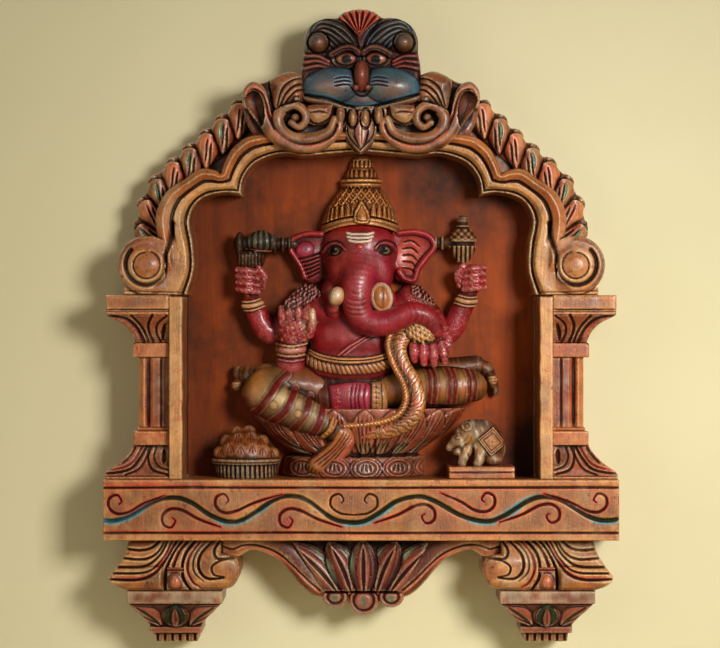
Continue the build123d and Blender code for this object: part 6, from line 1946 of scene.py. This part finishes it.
def make_sweets_bowl():
    bowl = Body((-148, 11, -1), (-74, 84, 50), "bronze", 0.7)
    x, z = bowl.x, bowl.z
    centre = -111.0
    turned(bowl, [(0, 25), (1, 27), (6, 29.5), (12.5, 30.5), (13.5, 33.0), (17.5, 33.6), (18.6, 31.5),
                  (19, 29)], 46, centre)
    bowl.ball((centre, 46, 18.5), (30.5, 30.5, 25), blend=0.8)
    heap = [(-24, 24, 3.0), (-14, 28, 2.0), (-4, 27, 0.0), (7, 28, 1.0), (17, 26, 2.0), (25, 23, 3.0),
            (-18, 35, 4.0), (-7, 37, 3.0), (5, 38, 3.0), (15, 35, 4.0),
            (-9, 42.5, 8.0), (2, 43.5, 8.0)]
    for dx, dz, back in heap:
        reach = math.sqrt(max(1 - (dx / 30.5) ** 2 - ((dz - 18.5) / 25) ** 2, 0.02)) * 30.5
        bowl.ball((centre + dx, 40.5 + reach - 0.8 * back, dz), (7.2, 6.4, 6.6), blend=3.4)
    lumps = [spot(bowl, centre + dx, dz, 6.4, 6.0) for dx, dz, _ in heap]
    nearest = np.minimum.reduce(lumps)
    above = z > 19
    bowl.brush("gold", 0.7 * above)
    bowl.brush("terracotta", 0.4 * above * bell(nearest - 0.3, 0.4))
    bowl.brush("brown", 0.6 * above * ramp(z, 28, 42))
    bowl.brush("dark", 0.75 * above * ramp(nearest, 0.9, 1.15))
    for dx, dz, _ in heap:
        for k in (-1, 0, 1):
            bowl.cut([(centre + dx + 3.4 * k, dz - 3.5), (centre + dx + 2.4 * k, dz),
                      (centre + dx + 0.6 * k, dz + 4.2)], 1.3, 0.8, "dark", taper=0.8,
                        strength=0.6)
    u = np.arcsin(np.clip((x - centre) / 31, -1, 1)) * 31
    ribs = np.abs((u / 4.8) % 1 - 0.5) * 2
    under = z < 12.6
    bowl.height += np.where(under, 0.9 - 2.0 * ramp(ribs, 0.45, 1.0), 0)
    bowl.mottle("slate", 0.75 * under, 9, 111, -0.6, 0.4)
    bowl.brush("cream", 0.4 * under * bell(ribs, 0.3))
    bowl.brush("black", 0.9 * under * ramp(ribs, 0.55, 0.95))
    rim = (z > 13) & (z < 18.8)
    bowl.brush("cream", 0.5 * rim * bell(z - 16.8, 0.9))
    bowl.brush("dark", 0.8 * bell(z - 13.1, 0.6) + 0.8 * bell(z - 19.2, 0.6))
    bowl.height -= 0.7 * rim * bell(z - 15.0, 0.5)
    bowl.roughen(0.3, 4, 112)
    one_piece(bowl.carve(), "sweets_bowl", AGED, "offering_lacquer")


def make_mouse():
    mouse = Body((76, 24, 8), (144, 72, 64), "brown", 0.6)
    x, z = mouse.x, mouse.z
    mouse.ball((120.5, 46, 34), (17, 18, 22), tilt=12)
    mouse.ball((106, 48, 43), (14.5, 14, 12.5), tilt=30, blend=4)
    mouse.limb([(102, 50, 41), (93, 52, 34), (85.5, 54, 29)], [10.5, 7.4, 3.8], blend=3)
    mouse.ball((93, 52, 25), (5.5, 6, 4.6), tilt=-20, blend=2)
    mouse.limb([(104, 52, 30), (99, 56, 20), (97, 57, 14)], [6.2, 4.8, 4.2], blend=2)
    mouse.limb([(116, 56, 26), (114, 59, 18), (112, 60, 14)], [6.5, 5.2, 4.4], blend=2)
    mouse.ball((128, 52, 18), (8.5, 10, 6.5), blend=3)
    mouse.limb([(134, 40, 18), (137, 44, 28), (133, 46, 36)], [3.4, 3.0, 2.2], blend=1)
    ear = mouse.knob(101.5, 50, 5.4, 5.4, 2.8)
    mouse.height -= 1.8 * bell(ear - 0.35, 0.3) * (ear < 0.8)
    mouse.brush("dark", 0.8 * bell(ear - 0.72, 0.12) + 0.7 * bell(ear - 1.1, 0.1))
    # grey over the top of the head: painted highlight
    mouse.patch("slate", 0.55, 112, 52, 12, 8)
    mouse.patch("ivory", 0.8, 108, 32, 18, 14)
    mouse.patch("bone", 0.85 * ramp(wobble(x, 0.5 * z, scale=2.2, seed=122), 0.1, 0.6), 110, 34, 24, 20)
    mouse.mottle("brown", 0.6, 5, 123, 0.3, 0.8)
    mouse.knob(93.2, 38.6, 2.3, 2.0, 1.3, "black")
    # a pale dot in the eye: painted glint
    mouse.brush("ivory", bell(spot(mouse, 93.8, 39.2, 0.7, 0.6)))
    mouse.cut([(90, 41.5), (94, 43), (98, 41)], 1.4, 0.9, "dark", taper=0.7)
    mouse.cut([(84, 27.6), (90, 28.4), (96, 31)], 1.9, 1.5, "dark", taper=0.5)
    for k in range(3):
        mouse.cut([(87 + 1.5 * k, 33.5 - 1.8 * k), (92 + 1.5 * k, 34.4 - 2.0 * k)], 1.0, 0.6, "dark",
                  taper=0.6)
    for px, pz, lean in ((103, 38, -7), (107, 36, -7), (111, 34, -6), (100, 28, -5), (106, 26, -4),
                         (112, 24, -3), (106, 57, -4), (113, 58, -2)):
        mouse.cut([(px, pz + 5), (px + 0.3 * lean, pz), (px + lean, pz - 5.5)], 1.6, 0.9, "dark",
                  taper=0.9, strength=0.7)
    for px in (94, 97.5, 109, 112.5, 123, 127, 131):
        mouse.groove([(px, 17), (px - 0.8, 11.5)], 1.3, 1.2, "dark", taper=0.3)
    mouse.cut([(102, 24), (104.5, 18), (104.5, 12)], 3.0, 2.6, "dark", taper=0.4)
    mouse.cut([(119.5, 24), (119.5, 18), (119, 12)], 3.0, 2.6, "dark", taper=0.4)
    # the lozenge cloth on its back, with a small flower
    middle = (126.0, 35.0)
    u = (x - middle[0]) * 0.78 + (z - middle[1]) * 0.62
    v = (z - middle[1]) * 0.78 - (x - middle[0]) * 0.62
    square = np.maximum(np.abs(u) / 9.6, np.abs(v) / 10.2)
    inside = square < 1
    mouse.level(inside, 2.0)
    mouse.brush("gold", inside)
    for ring, width in ((0.86, 0.05), (0.64, 0.05)):
        mouse.height -= inside * 1.1 * bell(square - ring, width)
        mouse.brush("dark", 0.85 * inside * bell(square - ring, width))
    mouse.brush("pink", 0.6 * inside * bell(square - 0.75, 0.04))
    mouse.brush("dark", 0.85 * bell(square - 1.04, 0.05))
    for k in range(5):
        turn = 2 * math.pi * k / 5 + 0.3
        mouse.knob(middle[0] + 2.7 * math.cos(turn), middle[1] + 2.7 * math.sin(turn), 1.6, 1.6,
                   3.2, "cream")
    mouse.knob(*middle, 1.2, 1.2, 3.4, "red")
    mouse.roughen(0.3, 3, 121)
    one_piece(mouse.carve(24.0), "mouse", AGED, "offering_lacquer")


def make_mouse_plinth():
    low, high = box_mm("mouse_plinth")
    block = Relief(low[0], high[0], low[2], high[2] + 1, 0.8, 78, "tan")
    x, z = block.x, block.z
    block.height = 0 * x + np.interp(z, [0, 5.4, 6.2, 7.0, 12], [77.5, 77.5, 75.5, 78, 77])
    block.roughen(0.4, 6, 131)
    block.brush("dark", 0.85 * bell(z - 6.2, 0.7))
    block.mottle("cream", 0.6 * bell(z - 9.6, 1.2), 7, 132, -0.5, 0.4)
    block.mottle("brown", 0.5, 9, 133, 0.0, 0.7)
    outline = rectangle(x, z, low[0], high[0], 0.05, high[2] + 0.4)
    one_piece(shape_relief(block, outline, 12, 1.6), "mouse_plinth", RUSSET, "offering_lacquer")


make_lotus_seat()
make_sweets_bowl()
make_mouse()
make_mouse_plinth()


# ---- plain boards and fittings -----------------------------------------------------------------------
NICHE_LIGHT = 0.02, 0.135, 0.17  # middle and radius, in metres, of the part of the niche board left without painted shade


def plank_wood(name, light, dark, grain, shade=0.0, rough=0.45, coat=0.35):
    """Stained plank: it is stretched where grain is small; shade gives it painted shade towards the niche's
    edges.
    """
    look = Shading(name)
    fibres = look.noise(1.0, 6.0, 0.7, 0.6, look.stretched(grain))
    colour = look.mix(look.fit(fibres, 0.24, 0.76), (*dark, 1), (*light, 1))
    smudge_and_shade = look.fit(look.noise(9.0, 7.0, 0.62), 0.47, 0.68, 0.0, 0.85)
    if shade:
        # painted shade: the board darkens towards the niche's edges
        centre_x, centre_z, radius = NICHE_LIGHT
        place = look.add("ShaderNodeMapping", Vector=look.place,
                         Location=(-centre_x / radius, 0, -centre_z / radius),
                         Scale=(1 / radius, 0, 1 / radius)).outputs["Vector"]
        away = look.calc("LENGTH", place, kind="ShaderNodeVectorMath")
        smudge_and_shade = look.calc("ADD", smudge_and_shade, look.fit(away, 0.7, 1.15, 0.0, shade), use_clamp=True)
    bump = look.add("ShaderNodeBump", Strength=0.3, Distance=0.0005, Height=fibres)
    look.finish(Base_Color=look.mix(smudge_and_shade, colour, (0.05, 0.014, 0.006, 1)), Normal=bump.outputs["Normal"],
                Roughness=look.fit(fibres, 0.3, 0.7, rough - 0.08, rough + 0.12),
                Coat_Weight=coat, Coat_Roughness=0.3, Specular_IOR_Level=0.12)
    return look.material


def brushed_steel(name, metal):
    """Zinc-coated steel with fine scratches."""
    look = Shading(name)
    scratches = look.noise(900.0, 3.0)
    look.finish(Base_Color=look.mix(scratches, (*[v * 0.6 for v in metal], 1), (*metal, 1)),
                Roughness=look.fit(scratches, 0.3, 0.7, 0.25, 0.5), Metallic=1.0)
    return look.material


STAINED_AND_SHADED = plank_wood("niche_board", srgb(172, 74, 17), srgb(108, 43, 10), (60, 60, 7), shade=0.6, coat=0.0)
ACROSS = plank_wood("shelf_boards", srgb(168, 98, 52), srgb(120, 62, 32), (7, 60, 60))
UPRIGHT = plank_wood("crest_plank", srgb(150, 88, 48), srgb(104, 54, 28), (60, 60, 7))
DOWEL = plank_wood("dowel_beech", srgb(196, 158, 112), srgb(164, 120, 78), (200, 20, 200), rough=0.6,
                   coat=0.0)
STEEL = brushed_steel("zinc_steel", (0.62, 0.62, 0.6))


def coat_nodes(material, edge, *nodes):
    """Gives CAD nodes that stay visible their material and softened edges."""
    for name in nodes:
        node = bpy.data.objects[name]
        node.data.materials.clear()
        node.data.materials.append(material)
        if edge:
            bevel = node.modifiers.new("soft_edge", "BEVEL")
            bevel.width, bevel.segments, bevel.limit_method = edge * MM, 2, "ANGLE"


coat_nodes(STAINED_AND_SHADED, 0.4, "back_board")
coat_nodes(ACROSS, 0.8, "shelf_top_board", "shelf_bottom_board", "shelf_end_left", "shelf_end_right")
coat_nodes(UPRIGHT, 0.8, "crest_board")
coat_nodes(DOWEL, 0.3, "pillar_dowels", "crest_dowels", "bracket_dowels", "arch_tenon")
coat_nodes(STEEL, 0.0, "block_screws", "hanger_screws", "keyhole_hangers")


# ---- stage, lights, camera ---------------------------------------------------------------------------
FLOOR_DROP = 0.12  # metres from the lowest carving down to the floor
WALL_Y = 0.001  # the wall stands just behind the back of the shrine


def make_stage():
    """A pale wall behind the shrine, seen from its front only, and a pale floor."""
    look = Shading("pale_wall")
    plaster = look.mix(look.noise(2.2, 3.0), (*srgb(206, 197, 157), 1), (*srgb(224, 216, 182), 1))
    look.finish(Base_Color=plaster, Roughness=0.9, Specular_IOR_Level=0.1)
    from_behind = look.add("ShaderNodeNewGeometry").outputs["Backfacing"]
    clear = look.add("ShaderNodeBsdfTransparent").outputs[0]
    choose = look.add("ShaderNodeMixShader")
    for socket, value in zip(choose.inputs, (from_behind, look.shader.outputs[0], clear)):
        look.put(socket, value)
    output = next(n for n in look.tree.nodes if n.type == "OUTPUT_MATERIAL")
    look.put(output.inputs["Surface"], choose.outputs[0])
    floor_z = CAD_BOX[0].z - FLOOR_DROP
    for name, corners in (
        ("wall", [(-3, WALL_Y, floor_z), (3, WALL_Y, floor_z), (3, WALL_Y, 3), (-3, WALL_Y, 3)]),
        ("floor", [(-3, -4, floor_z), (3, -4, floor_z), (3, WALL_Y, floor_z), (-3, WALL_Y, floor_z)]),
    ):
        mesh = bpy.data.meshes.new(name)
        mesh.from_pydata(corners, [], [(0, 1, 2, 3)])
        mesh.materials.append(look.material)
        stage = bpy.data.objects.new(name, mesh)
        stage.visible_shadow = False
        bpy.context.scene.collection.objects.link(stage)


def make_light(name, place, target, size, watts, colour, spread=180):
    light = bpy.data.lights.new(name, "AREA")
    light.spread = math.radians(spread)
    light.size, light.energy, light.color = size, watts, colour
    lamp = bpy.data.objects.new(name, light)
    lamp.location = place
    lamp.rotation_euler = (Vector(target) - Vector(place)).to_track_quat("-Z", "Y").to_euler()
    bpy.context.scene.collection.objects.link(lamp)


make_stage()
middle = (0, -0.05, 0.14)
make_light("key", (0.85, -1.75, 0.5), (0.16, -0.05, 0.05), 0.5, 4.7, (1.0, 0.97, 0.91), spread=60)
make_light("fill", (-1.6, -2.0, 0.3), middle, 1.6, 7.8, (1.0, 0.96, 0.84))
make_light("rear", (-0.4, 1.6, 0.9), middle, 1.2, 16, (1.0, 0.97, 0.92))
world = bpy.data.worlds.new("studio")
world.use_nodes = True
world.node_tree.nodes["Background"].inputs["Color"].default_value = (1.0, 0.93, 0.78, 1)
world.node_tree.nodes["Background"].inputs["Strength"].default_value = 0.17
bpy.context.scene.world = world
bpy.context.scene.view_settings.view_transform = "Standard"

VIEW_WIDTH = 0.684  # metres that the frame takes in at the plane of the shelf's front
EYE_DISTANCE = 2.6
SENSOR_WIDTH = 36  # millimetres, like the lens
camera_data = bpy.data.cameras.new("camera")
camera_data.sensor_width = SENSOR_WIDTH
camera_data.lens = SENSOR_WIDTH * EYE_DISTANCE / VIEW_WIDTH
camera = bpy.data.objects.new("camera", camera_data)
bpy.context.scene.collection.objects.link(camera)
front = CAD_BOX[0].y
camera.location = (-0.001, front - EYE_DISTANCE, 0.148)
camera.rotation_euler = (math.radians(90), 0, 0)
bpy.context.scene.camera = camera
